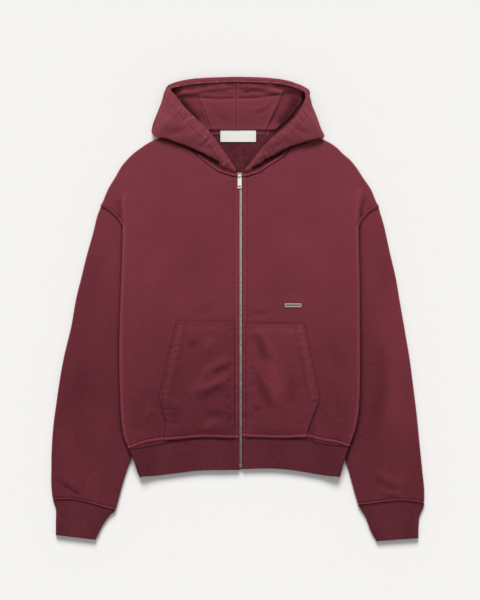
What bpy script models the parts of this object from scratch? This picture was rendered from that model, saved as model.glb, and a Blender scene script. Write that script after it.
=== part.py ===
"""Zip up hoodie laid flat on its back.

Frame: metres, +Z up, the garment lies on z = 0 with the hood towards +Y, and the
origin is under the middle of its outline. "Right" and "left" are the wearer's,
so the right side lies at -X. All tables and helper functions are in millimetres
and are turned to metres when a mesh is written.
"""

import math
from collections import namedtuple

import bmesh
import bpy
from mathutils import Vector

MM = 0.001

# Cloth
FLEECE = 2.8          # wall of the brushed fleece and of the rib
TAPE_WALL = 0.8       # woven zip tape, neck tape and label
AIR = 3.6             # space between front and back where the garment lies open
AIR_CLOSED = 1.0      # the same at the shoulder seam near the neck
CLOSING = (270.0, 345.0)      # the air closes between these two levels, y
SEAM = 0.3            # distance kept between two pieces that are sewn or touch
SLEEVE_HEIGHT = FLEECE + AIR + FLEECE
LIFT = SLEEVE_HEIGHT + 0.8    # how far the body rises where it lies on a sleeve
RAMP = 24.0           # width of the slope beside the hidden sleeve
RAMP_INSET = 8.0      # the slope ends this far inside the sleeve's edge
LIP = 1.6             # distance from the front's rolled lip to the back's edge, on its middle line
TIP_EASE = 1.5        # the sleeve's end draws back this far at the shoulder tip

TIP_CLEAR = 1.2       # the back's edge draws back this far there
TIP_LEVELS = (184.0, 195.0)

# Where the body comes down to the floor again, above the hidden ends of the sleeves
UNDERARM_Y = 100.0            # above this level the hidden sleeve end slants away
BACK_DROP = (18.0, 38.0)      # distance from the armhole seam over which the back comes down
BACK_CORNER = (151.0, 4.0, 28.0)    # level it starts at, inset from corner_x, width
FRONT_DROP = (160.0, 238.0)   # levels between which the front's fold runs out
FRONT_CORNER = (161.0, 26.0)  # level it starts at, width
NECK_RISE = (300.0, 362.0)    # levels between which the neck turns from front to back
NECK_LIFT = 0.4               # the hood's wall stands this much higher at the shoulder
NECK_STEP_IN = (297.0, 322.0) # levels between which the hood's wall moves in from the seam
BACK_NECK_GAP = (2.0, 0.8)    # from the back neck seam to the hood, at the shoulder and middle

# Waistband
SEAM_LEVEL = -258.0   # of the seam at the middle
SEAM_END_X = 217.0    # where the seam meets the body's fold, from the middle
HEM_END_X = 200.0
HEM_LEVEL = -334.0    # of the hem at the outer corners

# Pocket
POCKET_WALL = 2.4
POCKET_BASE = -262.0  # level that the pocket's side is measured to, under the waistband seam

# Zip
ZIP_X = 5.9
ZIP_OPENING = 7.0     # distance between the two front edges
CHAIN_WIDTH = 6.2
CHAIN_HEIGHT = 2.4
CHAIN_BASE = 4.5
ZIP_TOP = 268.0
ZIP_BOTTOM = -317.0
ZIP_TAPE_WIDTH = 13.0
BOX_SIZE = (7.2, 3.6)     # length and height of the box at the zip's lower end
BOX_GAP = 0.8             # from the box to the chain
BOX_BEVEL = 0.5
SLIDER_X = 3.9            # the slider's plate sits to one side of the chain
SLIDER_Y = 267.2
SLIDER_SIZE = (8.8, 9.2, 1.0)
STEM_X = 5.3
STEM_SIZE = (4.4, 7.0)
LUG_SIZE = (1.0, 3.0)

# Pull tab
HINGE_Y = 265.1
HINGE_Z = 12.6
PIN_RADIUS = 0.55
PIN_PROUD = 0.4           # the pin is longer than the distance between the lugs' middles
BARREL_BORE = 0.85
BARREL_RADIUS = 1.5
BARREL_WIDTH = 5.2
PULL_LENGTH = 24.4
PULL_WIDTH = 8.2
PULL_WALL = 1.2
PULL_BEVEL = 0.35
PULL_TILT = math.radians(3.8)
NECK_LENGTH = 1.6         # narrow part between barrel and tab
PULL_SLOT = (5.8, 2.4)
PULL_SLOT_Y = -20.6       # from the hinge, as the hole's place is
PULL_HOLE_Y = -3.8
PULL_HOLE_RADIUS = 1.1

# Trim
BADGE_CENTRE = (110.7, 7.3)
BADGE_SIZE = (33.0, 7.6, 1.1)
BADGE_BEVEL = 0.3
LABEL_CENTRE = (0.9, 345.7)
LABEL_SIZE = (71.0, 24.0)
NECK_TAPE_X = (-50.0, 56.0)
NECK_TAPE_Y = (347.5, 358.0)

SHOULDER_TOP_Y = 362.0   # where shoulder and neck seams meet
MIDDLE_SHIFT = (264.0, 324.0)    # levels over which the middle moves from the zip to the hood seam
BACK_NECK_DROP = 8.0
HOOD_SEAM_X = -3.6       # centre seam of the hood at the back of the neck

At = namedtuple("At", "key value")
Section = namedtuple("Section", "outer_x outer_y inner_x inner_y")
HoodSection = namedtuple("HoodSection", "neck valley foot fold crown edge")
Crease = namedtuple("Crease", "x1 y1 x2 y2 depth width")
Side = namedtuple("Side", "sign edge neck armhole inner back_edge seam hem sleeve cuff "
                          "corner_x pocket_top pocket_edge pocket_inner hood lining creases")
Armhole = namedtuple("Armhole", "tip corner end")

# Outline of body and waistband, x at each y, from the hem up to the armhole's corner
# and from the shoulder's tip up to the neck
EDGE_RIGHT = [At(-335, -193), At(-302, -207), At(-278.5, -217.3), At(-249, -228), At(-195, -233.3),
              At(-79, -236), At(62, -231.7), At(158, -229), At(165, -229), At(204, -274.5),
              At(214, -269.5), At(238, -259.5), At(262, -245.5), At(286, -231.5), At(298, -221.5),
              At(310, -209.5), At(322, -193.5), At(334, -175), At(341.5, -157.5), At(352, -133),
              At(362, -110)]
EDGE_LEFT = [At(-334, 200), At(-302, 212.5), At(-274.5, 221.5), At(-236, 235), At(-195, 241.5),
             At(-135, 243.5), At(62, 242.5), At(158, 240.5), At(165, 241), At(202.5, 282.5),
             At(214, 276.5), At(238, 266.5), At(262, 250.5), At(286, 234.5), At(298, 224.5),
             At(310, 210.5), At(322, 198.5), At(334, 181), At(341.5, 163), At(352, 141),
             At(362, 119)]

# Neck seam, x at each y, from the zip up to the shoulder
NECK_RIGHT = [At(269.5, 2.4), At(271, -9.5), At(274, -20.5), At(277.5, -31.5), At(283.5, -42),
              At(290, -51.2), At(299, -63), At(309.5, -74.5), At(322, -83.5), At(335, -90),
              At(350, -94), At(362, -95)]
NECK_LEFT = [At(269.5, 9.4), At(271, 20), At(274, 30), At(277.5, 40), At(283.5, 49.5), At(290, 59),
             At(299, 73.5), At(309.5, 87.5), At(322, 96), At(335, 100), At(350, 103), At(362, 104)]

# Hidden inner edge of the sleeves under the body, x at each y
INNER_RIGHT = [At(-335, -226), At(-302, -214), At(-278, -206), At(-200, -193), At(-100, -187),
               At(60, -186), At(132, -190), At(200, -190)]
INNER_LEFT = [At(-335, 226), At(-302, 214.5), At(-278, 208), At(-200, 200), At(-100, 197),
              At(60, 197), At(132, 200), At(200, 200)]

# The back's edge steps round the sleeve's end under the fold
BACK_EDGE_RIGHT = [At(105, -224), At(125, -219), At(138, -208), At(150, -196), At(160, -204),
                   At(171.5, -235.5)]
BACK_EDGE_LEFT = [At(105, 236), At(125, 231), At(138, 220), At(150, 209), At(160, 217),
                  At(171.5, 247)]

# Waistband seam and hem, y at each x counted from the zip
SEAM_RIGHT = [At(3, -258), At(67, -256), At(121, -260), At(174.5, -265), At(217.3, -278.5)]
SEAM_LEFT = [At(9, -255), At(93, -257.5), At(133, -256), At(170.5, -263), At(197, -267),
             At(221.5, -274.5)]
HEM_RIGHT = [At(2, -321), At(67, -321), At(121, -325), At(193, -335)]
HEM_LEFT = [At(9, -319), At(71.5, -317.5), At(128, -321), At(154.5, -325), At(200, -334)]

# Sleeve, a row for each section from the armhole to the cuff seam
SLEEVE_RIGHT = [Section(-280.5, 187, -188.5, 108), Section(-288.5, 154, -187, 84),
                Section(-303, 102, -186, 55), Section(-313, 60, -186, 25),
                Section(-322.5, 22, -186, 0), Section(-333.5, -38, -187, -45),
                Section(-347.5, -98, -188, -98), Section(-359.5, -170, -190.5, -170),
                Section(-368, -228, -196, -228), Section(-371.8, -280, -206, -280),
                Section(-372.5, -320, -221, -320), Section(-372.3, -352, -233, -360),
                Section(-368.7, -381.5, -244, -401.5)]
SLEEVE_LEFT = [Section(287.5, 184, 199, 108), Section(295, 154, 198, 84),
               Section(306.5, 102, 197, 55), Section(315.8, 62, 197, 25),
               Section(322.5, 22, 197, 0), Section(333, -38, 197, -45),
               Section(342.5, -98, 197, -98), Section(352.5, -170, 199, -170),
               Section(359.2, -228, 202, -228), Section(364.2, -280, 208.5, -280),
               Section(368.5, -322, 220, -318), Section(372.1, -356, 231.5, -360),
               Section(372.6, -389, 240.5, -391)]
CUFF_RIGHT = [Section(-368.5, -382, -244.2, -402), Section(-366, -391, -248, -406),
              Section(-362.8, -404, -256, -413), Section(-363.2, -430, -270, -432),
              Section(-363.3, -451, -284, -460)]
CUFF_LEFT = [Section(372.4, -389.5, 240.7, -391.5), Section(368.4, -402, 246.9, -402),
             Section(363, -414, 256, -417), Section(360.8, -438, 264.5, -440),
             Section(360.7, -457, 277, -463.3)]

# Largest folds in the cloth: soft troughs of the upper layer
CREASES_RIGHT = [Crease(-262, 150, -300, 40, 1.4, 16), Crease(-300, -322, -352, -352, 1.6, 11)]
CREASES_LEFT = [Crease(286, -108, 290, -168, 2.2, 12), Crease(290, -168, 263, -276, 1.6, 14)]

# Hood, a row for each section from the front end at the zip to the centre seam; neck is
# the place along the neck seam, counted in knots, and the others are points of the wall:
# the valley beside the seam, the foot of the flap, its fold, its crown and the opening's edge
HOOD_RIGHT = [HoodSection(*row) for row in (
    (0, (-10, 274.5, 8.8), (-10.3, 276, 10), (-10.5, 277.5, 11.5), (-10, 281.5, 13.2), (-8.5, 285, 13.5)),
    (2, (-29, 283.5, 8.8), (-29.6, 285, 11), (-29.5, 286.5, 13), (-25, 293.5, 16.5), (-19.5, 301, 17)),
    (4, (-45, 295, 9), (-46.8, 295, 12), (-47, 296.5, 14.5), (-40, 307, 19), (-31.5, 319, 20)),
    (6, (-70, 315, 9), (-74, 313.5, 12), (-75.5, 314, 15), (-66, 329, 20.5), (-52, 348, 22.5)),
    (8, (-87, 338, 10.2), (-100, 332, 12), (-108, 328, 15), (-93, 346, 22), (-70, 366.5, 24)),
    (9, (-91.5, 351, 11), (-122, 343, 12), (-138, 337, 14.5), (-113, 359, 23), (-83, 379, 25)),
    (10, (-93.5, 366.5, 10.5), (-146, 357, 10), (-167, 347.5, 12), (-132, 369, 23), (-93, 388.5, 26)),
    (11, (-125, 372, 2.5), (-158, 366, 2.5), (-168.5, 364.5, 9), (-137, 385, 23), (-103, 398.5, 26)),
    (12, (-112, 392, 1.4), (-150, 391, 1.6), (-159.5, 390, 9), (-139, 401, 21), (-115, 413, 25)),
    (12.6, (-100, 408, 1.4), (-141, 415, 1.6), (-151, 412, 9), (-141, 419, 18), (-126, 427, 23)),
    (13, (-85, 418, 1.4), (-134, 432, 1.6), (-144, 433, 9), (-141, 435, 15), (-134, 437.5, 19)),
    (13.3, (-70, 424, 1.4), (-124, 441, 1.6), (-133, 447.5, 8.5), (-128, 446, 15), (-122, 441.5, 17.5)),
    (13.6, (-45, 427, 1.4), (-85, 450, 1.5), (-87, 458, 8.5), (-85, 455.5, 14.5), (-82, 448.5, 16)),
    (14, (-3.8, 425, 1.4), (-3.8, 453, 1.5), (-3.8, 461.9, 8.5), (-3.8, 459, 14.5), (-3.8, 452.5, 16)),
)]
HOOD_LEFT = [HoodSection(*row) for row in (
    (0, (20.5, 274.5, 8.8), (20.8, 276, 10), (21, 277.5, 11.5), (21.5, 281.5, 13.2), (20.5, 285, 13.5)),
    (2, (38.5, 284, 8.8), (39.2, 285.5, 11), (39.2, 287, 13), (36, 294, 16.5), (32, 300, 17)),
    (4, (55.5, 297, 9), (57.2, 297.5, 12), (57.5, 299, 14.5), (52.5, 308, 19), (45.5, 317, 20)),
    (6, (81.5, 315, 9), (86.5, 313.5, 12), (88.5, 314.5, 15), (78.5, 327, 20.5), (66, 338.5, 22.5)),
    (8, (97, 337, 10.2), (110, 332, 12), (121, 328.5, 15), (103, 344, 22), (82, 352, 24)),
    (9, (100.5, 351, 11), (134, 341, 12), (152, 334.5, 14.5), (123, 354, 23), (98, 364.5, 25)),
    (10, (102.5, 366.5, 10.5), (154, 355, 10), (170.6, 343.5, 12), (140, 366, 23), (109, 376, 26)),
    (11, (130, 372, 2.5), (155, 366, 2.5), (165, 360, 9), (143, 380, 23), (119, 388, 26)),
    (12, (115, 390, 1.4), (147, 388, 1.6), (156.5, 384, 9), (143, 395, 21), (127, 400, 25)),
    (12.6, (102, 405, 1.4), (137, 407, 1.6), (147.5, 405, 9), (142, 410, 18), (133.5, 414, 23)),
    (13, (88, 416, 1.4), (132, 424, 1.6), (142, 423, 9), (140, 424, 15), (135.7, 425, 19)),
    (13.3, (72, 422, 1.4), (126, 435, 1.6), (137, 439, 8.5), (132, 438, 15), (126, 435.5, 17.5)),
    (13.6, (46, 426, 1.4), (80, 450, 1.5), (85, 457, 8.5), (84, 454.5, 14.5), (83, 448.3, 16)),
    (14, (-3.4, 425, 1.4), (-3.4, 453, 1.5), (-3.4, 461.9, 8.5), (-3.4, 459, 14.5), (-3.4, 452.5, 16)),
)]

# Hidden outer edge of the inner hood, distance from the middle at each y
LINING_RIGHT = [At(358, 60), At(380, 84), At(400, 100), At(420, 112), At(436, 114), At(446, 98)]
LINING_LEFT = [At(358, 60), At(380, 84), At(400, 98), At(420, 106), At(436, 104), At(446, 84)]

# Armhole seam: shoulder tip, corner at the body's fold, hidden end
ARMHOLE_RIGHT = Armhole((-274.5, 204), (-229, 165), (-190, 132))
ARMHOLE_LEFT = Armhole((282.5, 202.5), (241, 165.5), (200, 129))

# Slanted opening of each pocket and its side below it, x at each y
POCKET_EDGE_RIGHT = [At(-262, -146), At(-230, -142), At(-179, -155.7), At(-25, -121)]
POCKET_EDGE_LEFT = [At(-262, 136.5), At(-248, 138.5), At(-190, 160), At(-174, 161), At(-29, 132)]

RIGHT = Side(sign=-1, edge=EDGE_RIGHT, neck=NECK_RIGHT, armhole=ARMHOLE_RIGHT, inner=INNER_RIGHT,
             back_edge=BACK_EDGE_RIGHT, seam=SEAM_RIGHT, hem=HEM_RIGHT, sleeve=SLEEVE_RIGHT,
             cuff=CUFF_RIGHT, corner_x=240.0, pocket_top=-25.0, pocket_edge=POCKET_EDGE_RIGHT,
             pocket_inner=-7.0, hood=HOOD_RIGHT, lining=LINING_RIGHT, creases=CREASES_RIGHT)
LEFT = Side(sign=1, edge=EDGE_LEFT, neck=NECK_LEFT, armhole=ARMHOLE_LEFT, inner=INNER_LEFT,
            back_edge=BACK_EDGE_LEFT, seam=SEAM_LEFT, hem=HEM_LEFT, sleeve=SLEEVE_LEFT,
            cuff=CUFF_LEFT, corner_x=252.0, pocket_top=-29.0, pocket_edge=POCKET_EDGE_LEFT,
            pocket_inner=17.5, hood=HOOD_LEFT, lining=LINING_LEFT, creases=CREASES_LEFT)

# Rows of the body: y of each, and how much it follows the waistband seam
BODY_ROWS = [(SEAM_LEVEL, 1.0), (-243, 0.7), (-220, 0.3)]
BODY_ROWS += [(y, 0.0) for y in (-190, -145, -95, -45, 5, 55, 95, 115, 128, 140, 150, 158, 166.5, 173,
                                 184, 195, 206, 218, 232, 248, 260, 269.5, 271, 274, 277.5, 283.5, 290, 299,
                                 309.5, 322, 335, 350, SHOULDER_TOP_Y)]
BAND_ROWS = (0.0, 0.12, 0.55, 1.0)
POCKET_ROWS = (0.0, 0.07, 0.16, 0.3, 0.48, 0.66, 0.83, 1.0)
LINING_ROWS = (358.4, 364, 372, 381, 390, 399, 408, 417, 425, 432, 438, 443, 446)
HOOD_STATIONS = (0, 1, 2, 3, 4, 5, 6, 7, 8, 9, 10, 10.5, 11, 11.5, 12, 12.3, 12.6, 12.8, 13, 13.15, 13.3,
                 13.45, 13.6, 13.8, 14)

# Columns across each piece, as fractions of its width
FLAT_COLUMNS = (0.0, 0.22, 0.42, 0.58, 0.68, 0.76, 0.84, 0.92, 1.0)
CENTRE_COLUMNS = (0.0, 0.25, 0.5, 0.75)
SLEEVE_TOP_COLUMNS = (0.0, 0.2, 0.4, 0.6, 0.8, 1.0)
SLEEVE_BASE_COLUMNS = (1.0, 0.75, 0.5, 0.25, 0.0)
POCKET_COLUMNS = (0.0, 0.2, 0.4, 0.6, 0.8, 1.0)
LINING_COLUMNS = (0.0, 0.14, 0.28, 0.42, 0.54, 0.64, 0.73, 0.81, 0.88, 0.94, 1.0)
ROLL_ANGLES = (90, 45, 0, -45, -90)
HOOD_DIVISIONS = (2, 2, 2, 3, 2)

# Folded inner hood: ridges and troughs of its top
LINING_RIDGES = [Crease(-76, 421, -68, 391, 2.6, 8), Crease(-68, 391, -49, 352, 2.2, 8),
                 Crease(89, 430, 66, 381, 2.6, 8), Crease(66, 381, 52, 345, 2.2, 8),
                 Crease(-127, 428, -4, 444, 2.2, 7), Crease(-4, 444, 90, 430, 2.2, 7)]
LINING_TROUGHS = [Crease(-74, 419, -4, 419, 1.6, 6), Crease(-4, 419, 88, 425, 1.6, 6)]
LINING_LOW = 6.0                # top of the folded cloth at the neck seam
LINING_HIGH = 8.6               # and in the middle
LINING_CLIMB = (358.0, 388.0)   # levels between which it rises from one to the other
LINING_RIM = 1.6                # further rise towards the rim
LINING_RIM_CLIMB = (425.0, 445.0)
LINING_EDGE = 0.6               # least thickness, at the hidden edge
LINING_ROUNDING = 0.12          # share of the width over which the hidden edge thins out
LINING_TOP = (447.0, 6.0)       # level of the thin edge at the rim, and how far it thins out

Finish = namedtuple("Finish", "colour roughness metallic")
FINISHES = {
    "fleece": Finish((0.184, 0.034, 0.050), 0.95, 0.0),
    "rib": Finish((0.107, 0.020, 0.028), 0.95, 0.0),
    "tape": Finish((0.110, 0.022, 0.030), 0.85, 0.0),
    "label": Finish((0.80, 0.80, 0.76), 0.6, 0.0),
    "zip_metal": Finish((0.37, 0.34, 0.31), 0.4, 1.0),
    "nickel": Finish((0.72, 0.70, 0.66), 0.25, 1.0),
    "badge_metal": Finish((0.33, 0.30, 0.27), 0.35, 1.0),
}


# ---------------------------------------------------------------- curves and tables

def clamp(value, low=0.0, high=1.0):
    return max(low, min(high, value))


def ease(value):
    """Smooth step from 0 to 1."""
    t = clamp(value)
    return t * t * (3 - 2 * t)


def mix(a, b, t):
    return a + (b - a) * t


def between(limits, value):
    """Smooth step from 0 at the first limit to 1 at the second."""
    return ease((value - limits[0]) / (limits[1] - limits[0]))


def straight(table, key):
    """Value of a table at a key, on straight lines between its rows."""
    for low, high in zip(table, table[1:]):
        if key <= high.key:
            return mix(low.value, high.value, clamp((key - low.key) / (high.key - low.key)))
    return table[-1].value


def read(table, key):
    """Value of a table at a key, on a smooth curve that never overshoots its rows."""
    if key <= table[0].key:
        return table[0].value
    if key >= table[-1].key:
        return table[-1].value
    i = next(n for n in range(len(table) - 1) if key <= table[n + 1].key)

    def slope(n):
        if n <= 0 or n >= len(table) - 1:
            return None
        before = (table[n].value - table[n - 1].value) / (table[n].key - table[n - 1].key)
        after = (table[n + 1].value - table[n].value) / (table[n + 1].key - table[n].key)
        if before * after <= 0:
            return 0.0
        return 2 * before * after / (before + after)

    low, high = table[i], table[i + 1]
    span = high.key - low.key
    chord = (high.value - low.value) / span
    m0 = slope(i)
    m1 = slope(i + 1)
    m0 = chord if m0 is None else m0
    m1 = chord if m1 is None else m1
    t = (key - low.key) / span
    return ((2 * t ** 3 - 3 * t ** 2 + 1) * low.value + (t ** 3 - 2 * t ** 2 + t) * span * m0
            + (3 * t ** 2 - 2 * t ** 3) * high.value + (t ** 3 - t ** 2) * span * m1)


def catmull(before, start, end, after, t):
    """Point between start and end on a smooth curve through four points."""
    return (start * 2 + (end - before) * t + (before * 2 - start * 5 + end * 4 - after) * t ** 2
            + (start * 3 - before - end * 3 + after) * t ** 3) / 2


def through(points, divisions):
    """Points on a smooth curve through all given points, divisions[i] steps in span i."""
    out = []
    last = len(points) - 1
    for i in range(last):
        before = points[i - 1] if i else points[0] * 2 - points[1]
        after = points[i + 2] if i + 2 <= last else points[last] * 2 - points[last - 1]
        for n in range(divisions[i]):
            out.append(catmull(before, points[i], points[i + 1], after, n / divisions[i]))
    out.append(points[last])
    return out


# ---------------------------------------------------------------- heights of the layers

def air(y):
    """Space between front and back, which closes towards the neck point."""
    return mix(AIR, AIR_CLOSED, between(CLOSING, y))


def armhole_distance(side, x, y):
    """How far a point lies from the armhole seam, positive on the body."""
    tip, end = Vector(side.armhole.tip), Vector(side.armhole.end)
    along = (end - tip).normalized()
    normal = Vector((-along.y, along.x)) * (-side.sign)
    if normal.y < 0:
        normal = -normal
    return (Vector((x, y)) - tip).dot(normal)


def sleeve_ramp(side, x, y):
    """1 where the hidden part of the sleeve lies below, 0 well inside of it."""
    inner = abs(read(side.inner, y)) - RAMP_INSET
    return ease((abs(x) - inner + RAMP) / RAMP)


def back_lift(side, x, y):
    lift = LIFT * sleeve_ramp(side, x, y)
    start, inset, width = BACK_CORNER
    if y > UNDERARM_Y:
        lift *= 1 - between(BACK_DROP, armhole_distance(side, x, y))
    if y > start:
        lift *= ease((side.corner_x - inset - abs(x)) / width)
    return lift


def front_lift(side, x, y):
    lift = LIFT * sleeve_ramp(side, x, y) * (1 - between(FRONT_DROP, y))
    start, width = FRONT_CORNER
    if y > start:
        lift *= ease((side.corner_x - abs(x)) / width)
    return lift


def crease(folds, x, y):
    """Depth of soft folds at a point."""
    depth = 0.0
    for fold in folds:
        start, end = Vector((fold.x1, fold.y1)), Vector((fold.x2, fold.y2))
        line = end - start
        t = clamp((Vector((x, y)) - start).dot(line) / line.length_squared)
        away = (Vector((x, y)) - start - line * t).length
        depth += fold.depth * math.exp(-(away / fold.width) ** 2)
    return depth


def back_z(side, x, y):
    return back_lift(side, x, y) + FLEECE / 2


def front_z(side, x, y):
    return front_lift(side, x, y) + FLEECE * 1.5 + air(y)


# ---------------------------------------------------------------- meshes

def collection(name):
    found = bpy.data.collections.new(name)
    bpy.context.scene.collection.children.link(found)
    return found


def material(name, kind):
    look = FINISHES[kind]
    finish = bpy.data.materials.new(name)
    finish.use_nodes = True
    shader = finish.node_tree.nodes["Principled BSDF"]
    shader.inputs["Base Color"].default_value = (*look.colour, 1.0)
    shader.inputs["Roughness"].default_value = look.roughness
    shader.inputs["Metallic"].default_value = look.metallic
    return finish


def place(bm, name, kind, parts):
    mesh = bpy.data.meshes.new(name)
    bm.to_mesh(mesh)
    bm.free()
    piece = bpy.data.objects.new(name, mesh)
    mesh.materials.append(material(name, kind))
    parts.objects.link(piece)
    return piece


def grid(rows, closed=False):
    """A grid whose points are moved to the given rows of millimetre points."""
    columns = len(rows[0])
    bm = bmesh.new()
    bmesh.ops.create_grid(bm, x_segments=columns - 1, y_segments=len(rows) - 1, size=1)
    bm.verts.ensure_lookup_table()
    for r, row in enumerate(rows):
        for c, point in enumerate(row):
            bm.verts[r * columns + c].co = Vector(point) * MM
    if closed:
        bmesh.ops.remove_doubles(bm, verts=bm.verts, dist=0.00001)
    return bm


def cloth(name, rows, parts, kind="fleece", wall=FLEECE, closed=False):
    """A sheet of cloth: an open surface through rows of points, thickened to both sides."""
    piece = place(grid(rows, closed), name, kind, parts)
    solid = piece.modifiers.new("Wall", "SOLIDIFY")
    solid.thickness = wall * MM
    solid.offset = 0.0
    solid.use_even_offset = True
    solid.use_quality_normals = True
    piece.data.shade_smooth()
    return piece


def rounded_layers(name, rows, base_z, parts, kind):
    """Folded layers as one solid: a shaped top over a flat base, joined round the edge."""
    bm = grid(rows)
    top_edges = [e for e in bm.edges if e.is_boundary]
    copied = bmesh.ops.duplicate(bm, geom=bm.verts[:] + bm.edges[:] + bm.faces[:])
    lower = [g for g in copied["geom"] if isinstance(g, bmesh.types.BMVert)]
    for vert in lower:
        vert.co.z = base_z * MM
    lower_faces = [g for g in copied["geom"] if isinstance(g, bmesh.types.BMFace)]
    bmesh.ops.reverse_faces(bm, faces=lower_faces)
    low_edges = [g for g in copied["geom"] if isinstance(g, bmesh.types.BMEdge) and g.is_boundary]
    bmesh.ops.bridge_loops(bm, edges=top_edges + low_edges)
    bmesh.ops.recalc_face_normals(bm, faces=bm.faces)
    piece = place(bm, name, kind, parts)
    piece.data.shade_smooth()
    return piece


def block(name, centre, size, parts, kind, bevel=0.0):
    bm = bmesh.new()
    bmesh.ops.create_cube(bm, size=1)
    for vert in bm.verts:
        vert.co = Vector([vert.co[i] * size[i] + centre[i] for i in range(3)]) * MM
    piece = place(bm, name, kind, parts)
    if bevel:
        rounding = piece.modifiers.new("Edges", "BEVEL")
        rounding.width = bevel * MM
        rounding.segments = 2
    return piece


def rod(name, centre, radius, length, parts, kind, axis="X", segments=24):
    bm = bmesh.new()
    bmesh.ops.create_cone(bm, cap_ends=True, segments=segments, radius1=radius * MM, radius2=radius * MM,
                          depth=length * MM)
    for vert in bm.verts:
        x, y, z = vert.co
        turned = Vector((z, y, -x)) if axis == "X" else Vector((x, y, z))
        vert.co = turned + Vector(centre) * MM
    return place(bm, name, kind, parts)


def combine(piece, other, operation):
    other.hide_render = True
    other.display_type = "WIRE"
    cut = piece.modifiers.new(operation.title(), "BOOLEAN")
    cut.operation = operation
    cut.object = other


# ---------------------------------------------------------------- body panels

def outline_normal(side, y):
    """Unit vector in plan that points out of the body's outline."""
    if side.armhole.corner[1] + 0.5 < y < side.armhole.tip[1] + 0.5:
        tip, end = Vector(side.armhole.tip), Vector(side.armhole.end)
        along = (end - tip).normalized()
        across = Vector((along.y, -along.x))
        return across if across.y < 0 else -across
    step = 1.0
    low, high = y - step, y + step
    if y <= side.armhole.corner[1] + 0.5:
        high = min(high, side.armhole.corner[1])
    else:
        low = max(low, side.armhole.tip[1])
    along = Vector((read(side.edge, high) - read(side.edge, low), high - low)).normalized()
    across = Vector((along.y, -along.x))
    return across if across.x * side.sign > 0 else -across


def seam_y(side, x):
    return read(side.seam, abs(x))


def row_y(side, row, x):
    y, follow = row
    return y + follow * (seam_y(side, x) - SEAM_LEVEL)


def on_armhole(side, y):
    return side.armhole.corner[1] < y < side.armhole.tip[1] + 0.5


def armhole_x(side, y):
    tip, end = side.armhole.tip, side.armhole.end
    return mix(tip[0], end[0], (y - tip[1]) / (end[1] - tip[1]))


def neck_x(side, y):
    return read(side.neck, y)


def flat_columns(inner_x, last, y_of):
    """Plan points from an inner edge to a last point, along a curve y_of(x) bent to meet it."""
    points = []
    for f in FLAT_COLUMNS:
        x = mix(inner_x, last.x, f)
        points.append(Vector((x, mix(y_of(x), last.y, f ** 3))))
    return points


def panel_row(side, row):
    """Plan points of a half row from the zip or neck edge out to the roll or armhole."""
    y_edge = row_y(side, row, SEAM_END_X)
    normal = outline_normal(side, y_edge)
    if on_armhole(side, y_edge):
        edge = Vector((armhole_x(side, y_edge), y_edge)) - normal * (SEAM / 2)
    else:
        edge = Vector((read(side.edge, y_edge), y_edge))
    roll = FLEECE + air(y_edge) / 2
    centre = edge - normal * roll
    points = flat_columns(neck_x(side, row[0]), centre, lambda x: row_y(side, row, x))
    return points, edge, centre, normal, y_edge


def front_panel(name, side, parts):
    rows = []
    for row in BODY_ROWS:
        points, edge, centre, normal, y_edge = panel_row(side, row)
        line = [(p.x, p.y, front_z(side, p.x, p.y) - crease(side.creases, p.x, p.y)) for p in points]
        top = front_z(side, centre.x, centre.y)
        low = top - FLEECE - air(y_edge)
        radius = (top - low) / 2
        for angle in ROLL_ANGLES[1:]:
            turn = math.radians(angle)
            if on_armhole(side, y_edge):
                reach = (1 - (angle + 90) / 180) * (edge - centre).length
                p = centre + normal * reach
                line.append((p.x, p.y, front_z(side, p.x, p.y)))
            else:
                p = centre + normal * radius * math.cos(turn)
                line.append((p.x, p.y, (top + low) / 2 + radius * math.sin(turn)))
        rows.append(line)
    return cloth(name, rows, parts)


def back_half_row(side, row):
    points, edge, centre, normal, y_edge = panel_row(side, row)
    if side.back_edge[0].key <= y_edge <= side.back_edge[-1].key:
        last = Vector((read(side.back_edge, y_edge), y_edge))
    elif on_armhole(side, y_edge):
        last = edge - normal * (SEAM + TIP_CLEAR * between(TIP_LEVELS, y_edge))
    else:
        last = centre - normal * LIP
    return flat_columns(points[0].x, last, lambda x: row_y(side, row, x))


def back_neck_y(x):
    """Back neck seam between the two neck points."""
    half = (neck_x(LEFT, SHOULDER_TOP_Y) - neck_x(RIGHT, SHOULDER_TOP_Y)) / 2
    middle = (neck_x(LEFT, SHOULDER_TOP_Y) + neck_x(RIGHT, SHOULDER_TOP_Y)) / 2
    return SHOULDER_TOP_Y - BACK_NECK_DROP * (1 - clamp(abs(x - middle) / half) ** 2)


def back_panel(parts):
    rows = []
    for row in BODY_ROWS:
        y = row[0]
        right, left = back_half_row(RIGHT, row), back_half_row(LEFT, row)
        middle_x = mix(ZIP_X, HOOD_SEAM_X, between(MIDDLE_SHIFT, y))
        bend = between(NECK_RISE, y)
        middle = Vector((middle_x, (right[0].y + left[0].y) / 2))
        strip = [(RIGHT, mix(right[0], middle, f)) for f in CENTRE_COLUMNS]
        strip += [(LEFT, mix(middle, left[0], f)) for f in CENTRE_COLUMNS]
        line = [(RIGHT, p) for p in reversed(right[1:])] + strip + [(LEFT, p) for p in left]
        points = []
        for side, p in line:
            drop = bend * (SHOULDER_TOP_Y - back_neck_y(p.x))
            points.append((p.x, p.y - drop, back_z(side, p.x, p.y)))
        rows.append(points)
    return cloth("back", rows, parts)


def band_y(side, x, v):
    """Level inside the waistband at share v from its seam to its hem."""
    return mix(seam_y(side, x) - SEAM, read(side.hem, abs(x)), v)


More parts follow.
